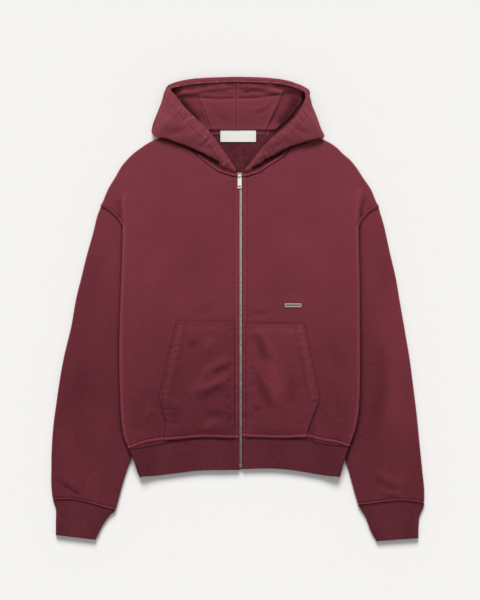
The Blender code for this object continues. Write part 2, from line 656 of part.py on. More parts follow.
def waistband(parts):
    """Flattened band, open at the zip: front, fold, back, fold, front in one strip."""
    rows = []
    for v in BAND_ROWS:
        halves = []
        for side in (RIGHT, LEFT):
            y_edge = mix(seam_y(side, SEAM_END_X) - SEAM, read(side.hem, HEM_END_X), v)
            normal = outline_normal(side, max(y_edge, HEM_LEVEL))
            edge = Vector((read(side.edge, y_edge), y_edge))
            centre = edge - normal * (FLEECE + AIR / 2)
            inner = ZIP_X + side.sign * ZIP_OPENING / 2
            line = flat_columns(inner, centre, lambda x: band_y(side, x, v))
            front = [(p.x, p.y, front_z(side, p.x, p.y)) for p in line]
            back = [(p.x, p.y, back_z(side, p.x, p.y)) for p in line]
            top, low = front[-1][2], back[-1][2]
            radius = (top - low) / 2
            roll = []
            for angle in ROLL_ANGLES[1:-1]:
                turn = math.radians(angle)
                p = centre + normal * radius * math.cos(turn)
                roll.append((p.x, p.y, (top + low) / 2 + radius * math.sin(turn)))
            halves.append(front + roll + list(reversed(back)))
        right, left = halves
        middle = (ZIP_X, (right[-1][1] + left[-1][1]) / 2, FLEECE / 2)
        rows.append(right + [middle] + list(reversed(left)))
    return cloth("waistband", rows, parts, "rib")


# ---------------------------------------------------------------- sleeves and cuffs

def tube_row(side, section, gap=0.0):
    """Closed section of a flattened tube that lies on the floor between two plan points."""
    outer, inner = Vector((section.outer_x, section.outer_y)), Vector((section.inner_x, section.inner_y))
    along = outer - inner
    width = along.length
    along.normalize()
    shift = Vector((along.y, -along.x))
    shift = shift if shift.y < 0 else -shift
    origin = inner + shift * gap
    radius = (SLEEVE_HEIGHT - FLEECE) / 2
    edge = SLEEVE_HEIGHT / 2
    places = []
    for f in SLEEVE_TOP_COLUMNS:
        a = mix(edge, width - edge, f)
        p = origin + along * a
        places.append((p, edge + radius - crease(side.creases, p.x, p.y)))
    for angle in (45, 0, -45):
        turn = math.radians(angle)
        reach = width - edge + radius * math.cos(turn)
        places.append((origin + along * reach, edge + radius * math.sin(turn)))
    for f in SLEEVE_BASE_COLUMNS:
        places.append((origin + along * mix(edge, width - edge, f), edge - radius))
    for angle in (-45, 0, 45):
        turn = math.radians(angle)
        reach = edge - radius * math.cos(turn)
        places.append((origin + along * reach, edge + radius * math.sin(turn)))
    places.append(places[0])
    return [(p.x, p.y, z) for p, z in places]


def sleeve(name, side, parts):
    armhole = side.armhole
    first = Section(armhole.tip[0], armhole.tip[1] - TIP_EASE, armhole.end[0], armhole.end[1])
    rows = [tube_row(side, first, SEAM / 2)] + [tube_row(side, s) for s in side.sleeve]
    return cloth(name, rows, parts, closed=True)


def cuff(name, side, parts):
    return cloth(name, [tube_row(side, s, SEAM if i == 0 else 0.0) for i, s in enumerate(side.cuff)], parts,
                 "rib", closed=True)


# ---------------------------------------------------------------- pocket, hood and neck

def pocket(name, side, parts):
    """Patch pocket half, made from the front's height moved out."""
    top_y = side.pocket_top
    rows = []
    for v in POCKET_ROWS:
        line = []
        for u in POCKET_COLUMNS:
            x = mix(side.pocket_inner, straight(side.pocket_edge, mix(POCKET_BASE, top_y, v)), u)
            y = mix(seam_y(side, x) + SEAM, top_y, v)
            line.append((x, y, front_z(side, x, y) + FLEECE / 2 + SEAM + POCKET_WALL / 2))
        rows.append(line)
    return cloth(name, rows, parts, wall=POCKET_WALL)


def neck_knots(side):
    """Neck seam as a line of points from the zip to the centre of the back neck."""
    ys = [row[0] for row in BODY_ROWS if row[0] > NECK_RIGHT[0].key]
    knots = []
    for i, y in enumerate(ys):
        x = neck_x(side, y)
        near = ys[min(i + 1, len(ys) - 1)], ys[max(i - 1, 0)]
        along = Vector((neck_x(side, near[0]) - neck_x(side, near[1]), near[0] - near[1])).normalized()
        inward = Vector((along.y, -along.x))
        inward = inward if inward.x * side.sign < 0 else -inward
        away = mix(1.6 * SEAM, FLEECE / 2 + 2 * SEAM, between(NECK_STEP_IN, y))
        bend = between(NECK_RISE, y)
        z = front_z(side, x, y)
        p = Vector((x, y)) + inward * away
        if y == SHOULDER_TOP_Y:
            p = Vector((x - side.sign * away, y + away))
        knots.append(Vector((p.x, p.y, z + bend * NECK_LIFT)))
    end_x = HOOD_SEAM_X + side.sign * SEAM / 2
    for f in (0.25, 0.5, 0.75, 1.0):
        x = mix(neck_x(side, SHOULDER_TOP_Y), end_x, f)
        knots.append(Vector((x, back_neck_y(x) + mix(*BACK_NECK_GAP, f), FLEECE / 2)))
    return knots


def hood_rows(side):
    knots = neck_knots(side)
    last = len(knots) - 1
    rows = []
    table = side.hood
    for s in HOOD_STATIONS:
        i = next((n for n in range(len(table) - 1) if s <= table[n + 1].neck), len(table) - 2)
        low, high = table[i], table[i + 1]
        before, after = table[max(i - 1, 0)], table[min(i + 2, len(table) - 1)]
        t = (s - low.neck) / (high.neck - low.neck)
        n = min(int(s), last - 1)
        points = [knots[n].lerp(knots[n + 1], s - n)]
        for column in range(1, 6):
            four = [Vector(section[column]) for section in (before, low, high, after)]
            points.append(catmull(*four, t))
        line = through(points, HOOD_DIVISIONS)
        rows.append([(p.x, p.y, max(p.z, FLEECE / 2)) for p in line])
    return rows


def hood(name, side, parts):
    return cloth(name, hood_rows(side), parts)


def lining_height(x, y):
    """Top of the folded inner hood: V ridges, a cross crease and a rise towards the rim."""
    rise = mix(LINING_LOW, LINING_HIGH, between(LINING_CLIMB, y))
    rise += LINING_RIM * between(LINING_RIM_CLIMB, y)
    return rise + crease(LINING_RIDGES, x, y) - crease(LINING_TROUGHS, x, y)


def lining(name, side, parts):
    """Inner hood half on the hood's floor layer, its outer edge hidden under the flap."""
    seam_x = HOOD_SEAM_X + side.sign * SEAM / 2
    base = FLEECE + SEAM
    top_y, top_width = LINING_TOP
    start = 0.15          # the edge already has a little of its rise
    rows = []
    for y in LINING_ROWS:
        line = []
        for u in LINING_COLUMNS:
            x = mix(seam_x, side.sign * read(side.lining, y), u)
            rise = min(ease((1 - u) / LINING_ROUNDING + start), ease((top_y - y) / top_width + start))
            line.append((x, y, base + LINING_EDGE + (lining_height(x, y) - base) * rise))
        rows.append(line)
    return rounded_layers(name, rows, base, parts, "fleece")


def neck_trim(parts):
    """Tape over the back neck seam and the blank woven label that is sewn on it."""
    seat = FLEECE + SEAM
    x = (NECK_TAPE_X[0] + NECK_TAPE_X[1]) / 2
    y = (NECK_TAPE_Y[0] + NECK_TAPE_Y[1]) / 2
    size = (NECK_TAPE_X[1] - NECK_TAPE_X[0], NECK_TAPE_Y[1] - NECK_TAPE_Y[0], TAPE_WALL)
    block("neck_tape", (x, y, seat + TAPE_WALL / 2), size, parts, "tape")
    seat += TAPE_WALL + SEAM
    block("neck_label", (*LABEL_CENTRE, seat + TAPE_WALL / 2), (*LABEL_SIZE, TAPE_WALL), parts, "label")


# ---------------------------------------------------------------- zip and badge

def zip_parts(parts, tools):
    cloth_top = FLEECE * 2 + AIR
    length = ZIP_TOP - ZIP_BOTTOM
    middle = (ZIP_TOP + ZIP_BOTTOM) / 2
    for name, sign in (("zip_tape_right", -1), ("zip_tape_left", 1)):
        x = ZIP_X + sign * (CHAIN_WIDTH / 2 + SEAM + ZIP_TAPE_WIDTH / 2)
        z = cloth_top - FLEECE - SEAM - TAPE_WALL / 2
        block(name, (x, middle, z), (ZIP_TAPE_WIDTH, length, TAPE_WALL), parts, "tape")
    box_length, box_height = BOX_SIZE
    chain_bottom = ZIP_BOTTOM + box_length + BOX_GAP
    block("zip_chain", (ZIP_X, (ZIP_TOP + chain_bottom) / 2, CHAIN_BASE + CHAIN_HEIGHT / 2),
          (CHAIN_WIDTH, ZIP_TOP - chain_bottom, CHAIN_HEIGHT), parts, "zip_metal")
    block("zip_box", (ZIP_X, ZIP_BOTTOM + box_length / 2, CHAIN_BASE + box_height / 2),
          (CHAIN_WIDTH, box_length, box_height), parts, "zip_metal", BOX_BEVEL)
    slider(cloth_top, parts, tools)
    pull(parts, tools)


def slider(cloth_top, parts, tools):
    """Top plate over the cloth edges, a stem down to the chain, two lugs and the bail pin."""
    base = cloth_top + SEAM
    middle = base + SLIDER_SIZE[2] / 2
    body = block("zip_slider", (SLIDER_X, SLIDER_Y, middle), SLIDER_SIZE, parts, "nickel")
    foot = CHAIN_BASE + CHAIN_HEIGHT + SEAM
    stem = block("stem", (STEM_X, SLIDER_Y, (foot + middle) / 2), (*STEM_SIZE, middle - foot), tools, "nickel")
    combine(body, stem, "UNION")
    lug_x = BARREL_WIDTH / 2 + SEAM + LUG_SIZE[0] / 2
    top = HINGE_Z + 2 * PIN_RADIUS
    for sign in (-1, 1):
        lug = block("lug", (SLIDER_X + sign * lug_x, HINGE_Y, (middle + top) / 2),
                    (*LUG_SIZE, top - middle), tools, "nickel")
        combine(body, lug, "UNION")
    pin = rod("pin", (SLIDER_X, HINGE_Y, HINGE_Z), PIN_RADIUS, 2 * lug_x + PIN_PROUD, tools, "nickel")
    combine(body, pin, "UNION")


def pull(parts, tools):
    """Flat tab on a barrel round the slider's pin, its end resting on the cloth."""
    hinge = bpy.data.objects.new("zip_pull_hinge", None)
    parts.objects.link(hinge)
    hinge.location = Vector((SLIDER_X, HINGE_Y, HINGE_Z)) * MM
    hinge.rotation_euler = (PULL_TILT, 0, 0)
    barrel = rod("zip_pull", (0, 0, 0), BARREL_RADIUS, BARREL_WIDTH, parts, "nickel")
    plate_z = -BARREL_RADIUS + PULL_WALL / 2
    start = BARREL_RADIUS + NECK_LENGTH
    overlap, inset = 0.6, 0.02
    neck = block("neck", (0, -(start + overlap) / 2, plate_z),
                 (BARREL_WIDTH - inset, start + overlap, PULL_WALL - inset), tools, "nickel")
    tab = block("tab", (0, -(start + PULL_LENGTH) / 2, plate_z), (PULL_WIDTH, PULL_LENGTH - start, PULL_WALL),
                tools, "nickel", PULL_BEVEL)
    through_all = 2.0
    bore = rod("bore", (0, 0, 0), BARREL_BORE, BARREL_WIDTH + through_all, tools, "nickel")
    slot = block("slot", (0, PULL_SLOT_Y, plate_z), (*PULL_SLOT, PULL_WALL + through_all), tools, "nickel")
    hole = rod("hole", (0, PULL_HOLE_Y, plate_z), PULL_HOLE_RADIUS, PULL_WALL + through_all, tools, "nickel",
               axis="Z", segments=16)
    for other, operation in ((neck, "UNION"), (tab, "UNION"), (bore, "DIFFERENCE"), (slot, "DIFFERENCE"),
                             (hole, "DIFFERENCE")):
        combine(barrel, other, operation)
        other.parent = hinge
    barrel.parent = hinge


def badge(parts):
    cloth_top = FLEECE * 2 + AIR
    block("badge", (*BADGE_CENTRE, cloth_top + SEAM + BADGE_SIZE[2] / 2), BADGE_SIZE, parts,
          "badge_metal", BADGE_BEVEL)


def main():
    for old in list(bpy.data.objects):
        bpy.data.objects.remove(old, do_unlink=True)
    parts = collection("zip_hoodie")
    tools = collection("zip_hoodie_cutters")
    back_panel(parts)
    for word, side in (("right", RIGHT), ("left", LEFT)):
        front_panel("front_" + word, side, parts)
        pocket("pocket_" + word, side, parts)
        sleeve("sleeve_" + word, side, parts)
        cuff("cuff_" + word, side, parts)
        hood("hood_" + word, side, parts)
        lining("hood_lining_" + word, side, parts)
    waistband(parts)
    neck_trim(parts)
    zip_parts(parts, tools)
    badge(parts)


if __name__ == "__main__":
    main()
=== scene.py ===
"""Looks of a zip up hoodie that lies flat on its back.

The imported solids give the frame: +Z up from the floor, +Y towards the hood and the
wearer's left at +X. Tables and sizes are in millimetres, as on a pattern sheet, and
meshes are written in metres. Each cloth piece is a fine grid on the form of its solid,
with seams, hems and soft folds worked in, and gets its wall from Solidify.
"""

from __future__ import annotations

import logging
import math
from dataclasses import dataclass, field
from enum import Enum
from typing import ClassVar, Sequence

import bpy
import numpy as np
from bpy.types import Material, NodeSocket, NodeTree, Object
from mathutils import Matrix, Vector, noise

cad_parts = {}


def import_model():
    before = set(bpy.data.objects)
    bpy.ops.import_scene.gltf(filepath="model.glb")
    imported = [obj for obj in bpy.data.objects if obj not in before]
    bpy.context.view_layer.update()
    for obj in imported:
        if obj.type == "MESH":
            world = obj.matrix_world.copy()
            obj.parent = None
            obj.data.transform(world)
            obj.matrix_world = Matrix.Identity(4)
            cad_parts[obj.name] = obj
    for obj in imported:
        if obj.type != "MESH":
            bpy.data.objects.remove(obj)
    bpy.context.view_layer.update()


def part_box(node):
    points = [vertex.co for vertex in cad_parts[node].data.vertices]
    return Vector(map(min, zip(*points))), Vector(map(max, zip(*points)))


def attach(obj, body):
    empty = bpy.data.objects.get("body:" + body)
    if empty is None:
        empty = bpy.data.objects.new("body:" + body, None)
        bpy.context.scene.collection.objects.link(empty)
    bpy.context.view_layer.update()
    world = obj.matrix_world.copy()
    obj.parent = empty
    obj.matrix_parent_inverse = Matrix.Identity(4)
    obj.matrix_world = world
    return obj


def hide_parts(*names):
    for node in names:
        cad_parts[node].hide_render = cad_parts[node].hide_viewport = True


LOG = logging.getLogger("zip_hoodie")
MM = 0.001
Array = np.ndarray
Values = Array | float
Pair = tuple[float, float]
Point3 = tuple[float, float, float]
Faces = list[tuple[int, ...]]
Line = tuple[Array, Array]        # points and their outward normals
Table = tuple[tuple[float, ...], ...]

FLEECE = 2.8                      # wall of the jersey
AIR, AIR_CLOSED = 3.6, 1.0        # space between front and back, at the chest and at the neck
SEAM = 0.3                        # gap between two pieces that touch
SLEEVE_HEIGHT = FLEECE + AIR + FLEECE
LIFT = SLEEVE_HEIGHT + 0.8        # rise of the body where it lies on a sleeve
ZIP_X = 5.9
SIDE_X = 217.0                    # where the body's side begins to turn down
SEAM_LEVEL = -258.0               # waistband seam at the middle
SEAM_ROW, CUFF_ROW = 6.6, 6.5     # stitched rows beside the seams of waistband and cuffs
SHOULDER_TOP_Y = 362.0
HOOD_SEAM_X = -3.6
FAR = 1e9


# ---- numbers and curves


def ease(value: Values) -> Values:
    """Smooth step from 0 to 1 as the value goes from 0 to 1."""
    t = np.clip(value, 0.0, 1.0)
    return t * t * (3 - 2 * t)


def between(start: float, end: float, value: Values) -> Values:
    """Smooth step from 0 at the start to 1 at the end."""
    return ease((np.asarray(value, float) - start) / (end - start))


def mix(a: Values, b: Values, t: Values) -> Values:
    """The value between a and b at share t."""
    return a + (b - a) * t


def bell(distance: Values, width: float) -> Values:
    """1 at no distance, fading to nothing within about twice the width."""
    return np.exp(-(distance / width) ** 2)


def catmull(before: Array, start: Array, end: Array, after: Array, t: float) -> Array:
    """Point between start and end on a smooth curve through four points."""
    return (start * 2 + (end - before) * t + (before * 2 - start * 5 + end * 4 - after) * t ** 2
            + (start * 3 - before - end * 3 + after) * t ** 3) / 2


def through(points: Sequence[Array], counts: Sequence[int]) -> Array:
    """Smooth curve through points.

    Args:
        points: the points to pass.
        counts: steps from each point to the next.

    Returns:
        Every point of the curve.
    """
    padded = [points[0] * 2 - points[1], *points, points[-1] * 2 - points[-2]]
    out = [catmull(*padded[i:i + 4], n / count) for i, count in enumerate(counts) for n in range(count)]
    return np.array([*out, points[-1]])


def square_to(start: Array, end: Array, towards: Pair) -> Array:
    """Unit vector in plan that is square to a line.

    Args:
        start: a point of the line.
        end: another one.
        towards: direction whose side it is on.

    Returns:
        The vector.
    """
    along = np.subtract(end, start, dtype=float)
    along /= np.linalg.norm(along)
    across = np.array((along[1], -along[0]))
    return across if across @ towards > 0 else -across


def steps(*stretches: Point3) -> Array:
    """Rising stations over several stretches, each given by start, end and pitch."""
    parts = [np.linspace(a, b, max(2, round((b - a) / pitch) + 1)) for a, b, pitch in stretches]
    return np.unique(np.concatenate(parts).round(4))


def way(points: Array, axis: int) -> Array:
    """Distance covered along one axis of rows of points, 0 at the first."""
    runs = np.linalg.norm(np.diff(points, axis=axis), axis=-1)
    return np.insert(np.cumsum(runs, axis=axis), 0, 0.0, axis=axis)


def nearest(values: Array, target: float) -> int:
    """Index of the value nearest to the target."""
    return int(np.argmin(np.abs(values - target)))


@dataclass(frozen=True)
class Track:
    """A line through measured stations, given as key, value, key, value and so on."""

    stations: tuple[float, ...]
    straight: bool = False

    def at(self, key: Values) -> Values:
        """Reads the line, which never overshoots its stations.

        Args:
            key: where to read; past the last station it stays level.

        Returns:
            The value there.
        """
        keys, values = np.reshape(self.stations, (-1, 2)).astype(float).T
        key = np.clip(key, keys[0], keys[-1])
        if self.straight:
            return np.interp(key, keys, values)
        chord = np.diff(values) / np.diff(keys)
        before, after = chord[:-1], chord[1:]
        total = np.where(before + after == 0, 1.0, before + after)
        inner = np.where(before * after > 0, 2 * before * after / total, 0.0)
        slope = np.concatenate(([chord[0]], inner, [chord[-1]]))
        i = np.clip(np.searchsorted(keys, key) - 1, 0, len(keys) - 2)
        span = keys[i + 1] - keys[i]
        t = (key - keys[i]) / span
        return ((2 * t ** 3 - 3 * t ** 2 + 1) * values[i] + (t ** 3 - 2 * t ** 2 + t) * span * slope[i]
                + (3 * t ** 2 - 2 * t ** 3) * values[i + 1] + (t ** 3 - t ** 2) * span * slope[i + 1])


@dataclass(frozen=True)
class Fold:
    """A soft ridge, or a trough where the height is below 0, along a line on the cloth.

    The ends run out over the share fade of the line. lean lays a weaker fold of the
    other kind along its left side, as cloth does that is pushed together. tone is the
    painted light and shade that each millimetre of the fold brings to the colour: lighter
    on ridges, darker in troughs.
    """

    line: tuple[float, ...]
    height: float
    width: float
    fade: float = 0.3
    lean: float = 0.0
    tone: float = 0.045

    def at(self, x: Array, y: Array) -> Array:
        """Reads the fold.

        Args:
            x, y: places in plan.

        Returns:
            The height that it adds there.
        """
        points = np.reshape(self.line, (-1, 2)).astype(float)
        runs = np.linalg.norm(np.diff(points, axis=0), axis=1)
        total, done = runs.sum(), 0.0
        best = np.full(np.shape(x), FAR)
        side, place = np.zeros(np.shape(x)), np.zeros(np.shape(x))
        for (ax, ay), (bx, by), run in zip(points[:-1], points[1:], runs):
            ux, uy = (bx - ax) / run, (by - ay) / run
            along = np.clip((x - ax) * ux + (y - ay) * uy, 0, run)
            dx, dy = x - ax - along * ux, y - ay - along * uy
            away = np.hypot(dx, dy)
            near = away < best
            best = np.where(near, away, best)
            side = np.where(near, ux * dy - uy * dx, side)
            place = np.where(near, (done + along) / total, place)
            done += run
        ends = ease(place / self.fade) * ease((1 - place) / self.fade)
        beside = bell(side - 1.7 * self.width, self.width) * bell(best - np.abs(side), self.width)
        return self.height * ends * (bell(best, self.width) - self.lean * beside)


def lay(rows: Sequence[tuple], x: Array, y: Array) -> tuple[Array, Array]:
    """Lays several folds together.

    Args:
        rows: the fields of each fold.
        x, y: places in plan.

    Returns:
        Their height, and the painted light and shade that they bring.
    """
    folds = [Fold(*row) for row in rows]
    heights = [fold.at(x, y) for fold in folds]
    return sum(heights), sum(fold.tone * height for fold, height in zip(folds, heights))


def waves(x: Array, y: Array, size: float, height: float, seed: float) -> Array:
    """Uneven rise and fall of cloth that lies loose.

    Args:
        x, y: places in plan.
        size: typical length of a wave.
        height: greatest rise.
        seed: picks another patch of the same kind.

    Returns:
        The rise there.
    """
    flat = zip(np.ravel(x) / size, np.ravel(y) / size)
    values = [noise.noise(Vector((a, b, seed))) for a, b in flat]
    return height * np.array(values).reshape(np.shape(x))


def rubbed_and_painted_shade(relief: Array) -> Array:
    """Wear and painted light that follow seam relief: a little lighter on ridges, partly
    rubbed and partly painted highlight, and darker in grooves, as painted shade.
    """
    return np.where(relief > 0, relief * 0.30, relief * 0.65)


def groove(distance: Array, at: float, depth: float = 0.5, width: float = 0.9) -> Array:
    """Line that a row of stitches draws into the cloth, at a distance from an edge."""
    return -depth * bell(distance - at, width)


def swell(distance: Array, start: float, end: float, height: float) -> Array:
    """Soft roll of cloth between two lines, such as seam allowance that lies below."""
    t = np.clip((distance - start) / (end - start), 0, 1)
    return height * np.sqrt(np.clip(1 - (2 * t - 1) ** 2, 0, 1))


def pucker(place: Array, distance: Array, reach: float, height: float, pitch: float,
           seed: float) -> Array:
    """Small uneven ripples at a place along a seam, which die out with distance from it."""
    return waves(place, distance * 0.22 + 0 * place, pitch, height, seed) * bell(distance, reach)


# ---- pattern of each half


class Wearer(Enum):
    """A side of the garment, as its wearer names it; the value is the sign of X."""

    RIGHT = -1
    LEFT = 1


@dataclass(frozen=True)
class Half:
    """Outlines of one half of the garment, in plan, and the height of its layers.

    The armhole seam runs from the shoulder's tip past the corner at the body's fold to a
    hidden end. A row of sleeve or cuff is its outer and its inner point. A row of the
    hood holds the points of its wall, from the neck out, at a station of HOOD_HEIGHTS.
    """

    side: Wearer
    edge: Track
    neck: Track
    tip: Pair
    corner: Pair
    end: Pair
    inner: Track
    back_edge: Track
    seam: Track
    hem: Track
    sleeve: Table
    cuff: Table
    corner_x: float
    pocket_top: float
    pocket_inner: float
    tack_y: float
    pocket_edge: Track
    hood: Table
    lining: Track

    @property
    def sign(self) -> int:
        """-1 on the wearer's right, 1 on the left."""
        return self.side.value

    @property
    def word(self) -> str:
        """right or left."""
        return self.side.name.lower()

    @staticmethod
    def air(y: Values) -> Values:
        """Space between front and back."""
        return mix(AIR, AIR_CLOSED, between(270, 345, y))

    def seam_y(self, x: Values) -> Values:
        """Level of the waistband seam."""
        return self.seam.at(np.abs(x))

    def seam_x(self, y: float) -> float:
        """Where the armhole seam is at a level."""
        return mix(self.tip[0], self.end[0], (y - self.tip[1]) / (self.end[1] - self.tip[1]))

    def armhole_normal(self) -> Array:
        """Unit vector in plan across the armhole seam, towards the sleeve."""
        return square_to(self.tip, self.end, (0, -1))

    def armhole_distance(self, x: Array, y: Array) -> Array:
        """Distance from the armhole seam, above 0 on the body."""
        across = self.armhole_normal()
        return (self.tip[0] - x) * across[0] + (self.tip[1] - y) * across[1]

    def over_sleeve(self, x: Array, y: Array, slope: float) -> Array:
        """1 where the sleeve lies below the body, 0 further in than the slope is wide."""
        inner = np.abs(self.inner.at(y)) - 8.0
        return ease((np.abs(x) - inner + slope) / slope)

    def back_z(self, x: Array, y: Array) -> Array:
        """Finds the middle of the back's wall.

        Args:
            x, y: places in plan.

        Returns:
            The height there.
        """
        lift = LIFT * self.over_sleeve(x, y, 24.0)
        low = lift * between(38, 18, self.armhole_distance(x, y))
        lift = np.where(y > 100, low, lift)
        lift = np.where(y > 151, lift * ease((self.corner_x - 4 - np.abs(x)) / 28), lift)
        return lift + FLEECE / 2

    def front_z(self, x: Array, y: Array) -> Array:
        """Finds the middle of the front's wall, which spans the sleeve more gently.

        Args:
            x, y: places in plan.

        Returns:
            The height there.
        """
        lift = LIFT * self.over_sleeve(x, y, 58.0) * between(292, 158, y)
        lift = np.where(y > 161, lift * ease((self.corner_x - 1 - np.abs(x)) / 17), lift)
        return lift + FLEECE * 1.5 + self.air(y)

    def row_y(self, y: float, x: Values) -> Values:
        """Level of a body row at x: the lowest rows follow the waistband seam."""
        follow = np.interp(y, (SEAM_LEVEL, -243, -220, -190), (1.0, 0.7, 0.3, 0.0))
        return y + follow * (self.seam_y(x) - SEAM_LEVEL)

    def fold_normal(self, y: float) -> Array:
        """Looks along the body's outer edge.

        Args:
            y: level of the place on its fold or shoulder.

        Returns:
            Unit vector in plan that points out of the body there.
        """
        low, high = y - 1.0, y + 1.0
        if y <= self.corner[1] + 0.5:
            high = min(high, self.corner[1])
        else:
            low = max(low, self.tip[1])
        points = [(float(self.edge.at(level)), level) for level in (low, high)]
        return square_to(*points, (self.sign, 0))

    def line(self, y: float, last: Array, shares: Array) -> tuple[Array, Array]:
        """x and y of a body row at shares of the way from its inner edge to its last point."""
        x = mix(float(self.neck.at(y)), last[0], shares)
        return x, mix(self.row_y(y, x), last[1], shares ** 3)


# station, then the height of the wall's valley, foot, fold, crown and edge
HOOD_HEIGHTS = (
    (0, 9, 9.8, 10.6, 11.6, 11.8),
    (2, 8.8, 11, 13, 16.5, 17),
    (4, 9, 12, 14.5, 19, 20),
    (6, 9, 12, 15, 20.5, 22.5),
    (8, 10.2, 12, 15, 22, 24),
    (9, 11, 12, 14.5, 23, 25),
    (10, 10.5, 10, 12, 23, 26),
    (11, 2.5, 2.5, 9, 23, 26),
    (12, 1.4, 1.6, 9, 21, 25),
    (12.6, 1.4, 1.6, 9, 18, 23),
    (13, 1.4, 1.6, 9, 15, 19),
    (13.3, 1.4, 1.6, 8.5, 15, 17.5),
    (13.6, 1.4, 1.5, 8.5, 14.5, 16),
    (14, 1.4, 1.5, 8.5, 14.5, 16),
)

RIGHT = Half(
    side=Wearer.RIGHT,
    edge=Track((-335, -193, -302, -207, -278.5, -217.3, -249, -228, -195, -233.3, -79, -236,
                62, -231.7, 158, -229, 165, -229, 204, -274.5, 214, -269.5, 238, -259.5,
                262, -245.5, 286, -231.5, 298, -221.5, 310, -209.5, 322, -193.5, 334, -175,
                341.5, -157.5, 352, -133, 362, -110)),
    neck=Track((269.5, 2.4, 271, -9.5, 274, -20.5, 277.5, -31.5, 283.5, -42, 290, -51.2, 299, -63,
                309.5, -74.5, 322, -83.5, 335, -90, 350, -94, 362, -95)),
    tip=(-274.5, 204), corner=(-229, 165), end=(-190, 132),
    inner=Track((-335, -226, -302, -214, -278, -206, -200, -193, -100, -187, 60, -186, 132, -190,
                 200, -190)),
    back_edge=Track((105, -224, 125, -219, 138, -208, 150, -196, 160, -204, 171.5, -235.5)),
    seam=Track((3, -258, 67, -256, 121, -260, 174.5, -265, 217.3, -278.5)),
    hem=Track((2, -321, 67, -321, 121, -325, 193, -335)),
    sleeve=((-280.5, 187, -188.5, 108), (-288.5, 154, -187, 84), (-303, 102, -186, 55),
            (-313, 60, -186, 25), (-322.5, 22, -186, 0), (-333.5, -38, -187, -45),
            (-347.5, -98, -188, -98), (-359.5, -170, -190.5, -170), (-368, -228, -196, -228),
            (-371.8, -280, -206, -280), (-372.5, -320, -221, -320), (-372.3, -352, -233, -360),
            (-368.7, -381.5, -244, -401.5)),
    cuff=((-368.5, -382, -244.2, -402), (-366, -391, -248, -406), (-362.8, -404, -256, -413),
          (-363.2, -430, -270, -432), (-363.3, -451, -284, -460)),
    corner_x=240, pocket_top=-25, pocket_inner=-7, tack_y=-176,
    pocket_edge=Track((-262, -146, -230, -142, -179, -155.7, -25, -121), straight=True),
    hood=(
        (-5, 272.6, -5.2, 273.4, -5.4, 274.4, -5, 276.5, -3.5, 279),
        (-29, 283.5, -29.6, 285, -29.5, 286.5, -25, 293.5, -18.5, 301),
        (-45, 295, -46.8, 295, -47, 296.5, -40, 307, -31.5, 319),
        (-70, 315, -74, 313.5, -75.5, 314, -66, 329, -52, 348),
        (-87, 338, -100, 332, -108, 328, -93, 346, -70, 366.5),
        (-91.5, 351, -122, 343, -138, 337, -113, 359, -83, 379),
        (-93.5, 366.5, -146, 357, -167, 347.5, -132, 369, -93, 388.5),
        (-125, 372, -158, 366, -168.5, 364.5, -137, 385, -103, 398.5),
        (-112, 392, -150, 391, -159.5, 390, -139, 401, -115, 413),
        (-100, 408, -141, 415, -151, 412, -141, 419, -126, 427),
        (-85, 418, -134, 432, -144, 433, -141, 435, -134, 437.5),
        (-70, 424, -124, 441, -133, 447.5, -128, 446, -122, 441.5),
        (-45, 427, -85, 450, -87, 458, -85, 455.5, -82, 448.5),
        (-3.8, 425, -3.8, 453, -3.8, 461.9, -3.8, 459, -3.8, 452.5),
    ),
    lining=Track((358, 60, 380, 86, 400, 108, 420, 124, 436, 127, 446, 112)),
)

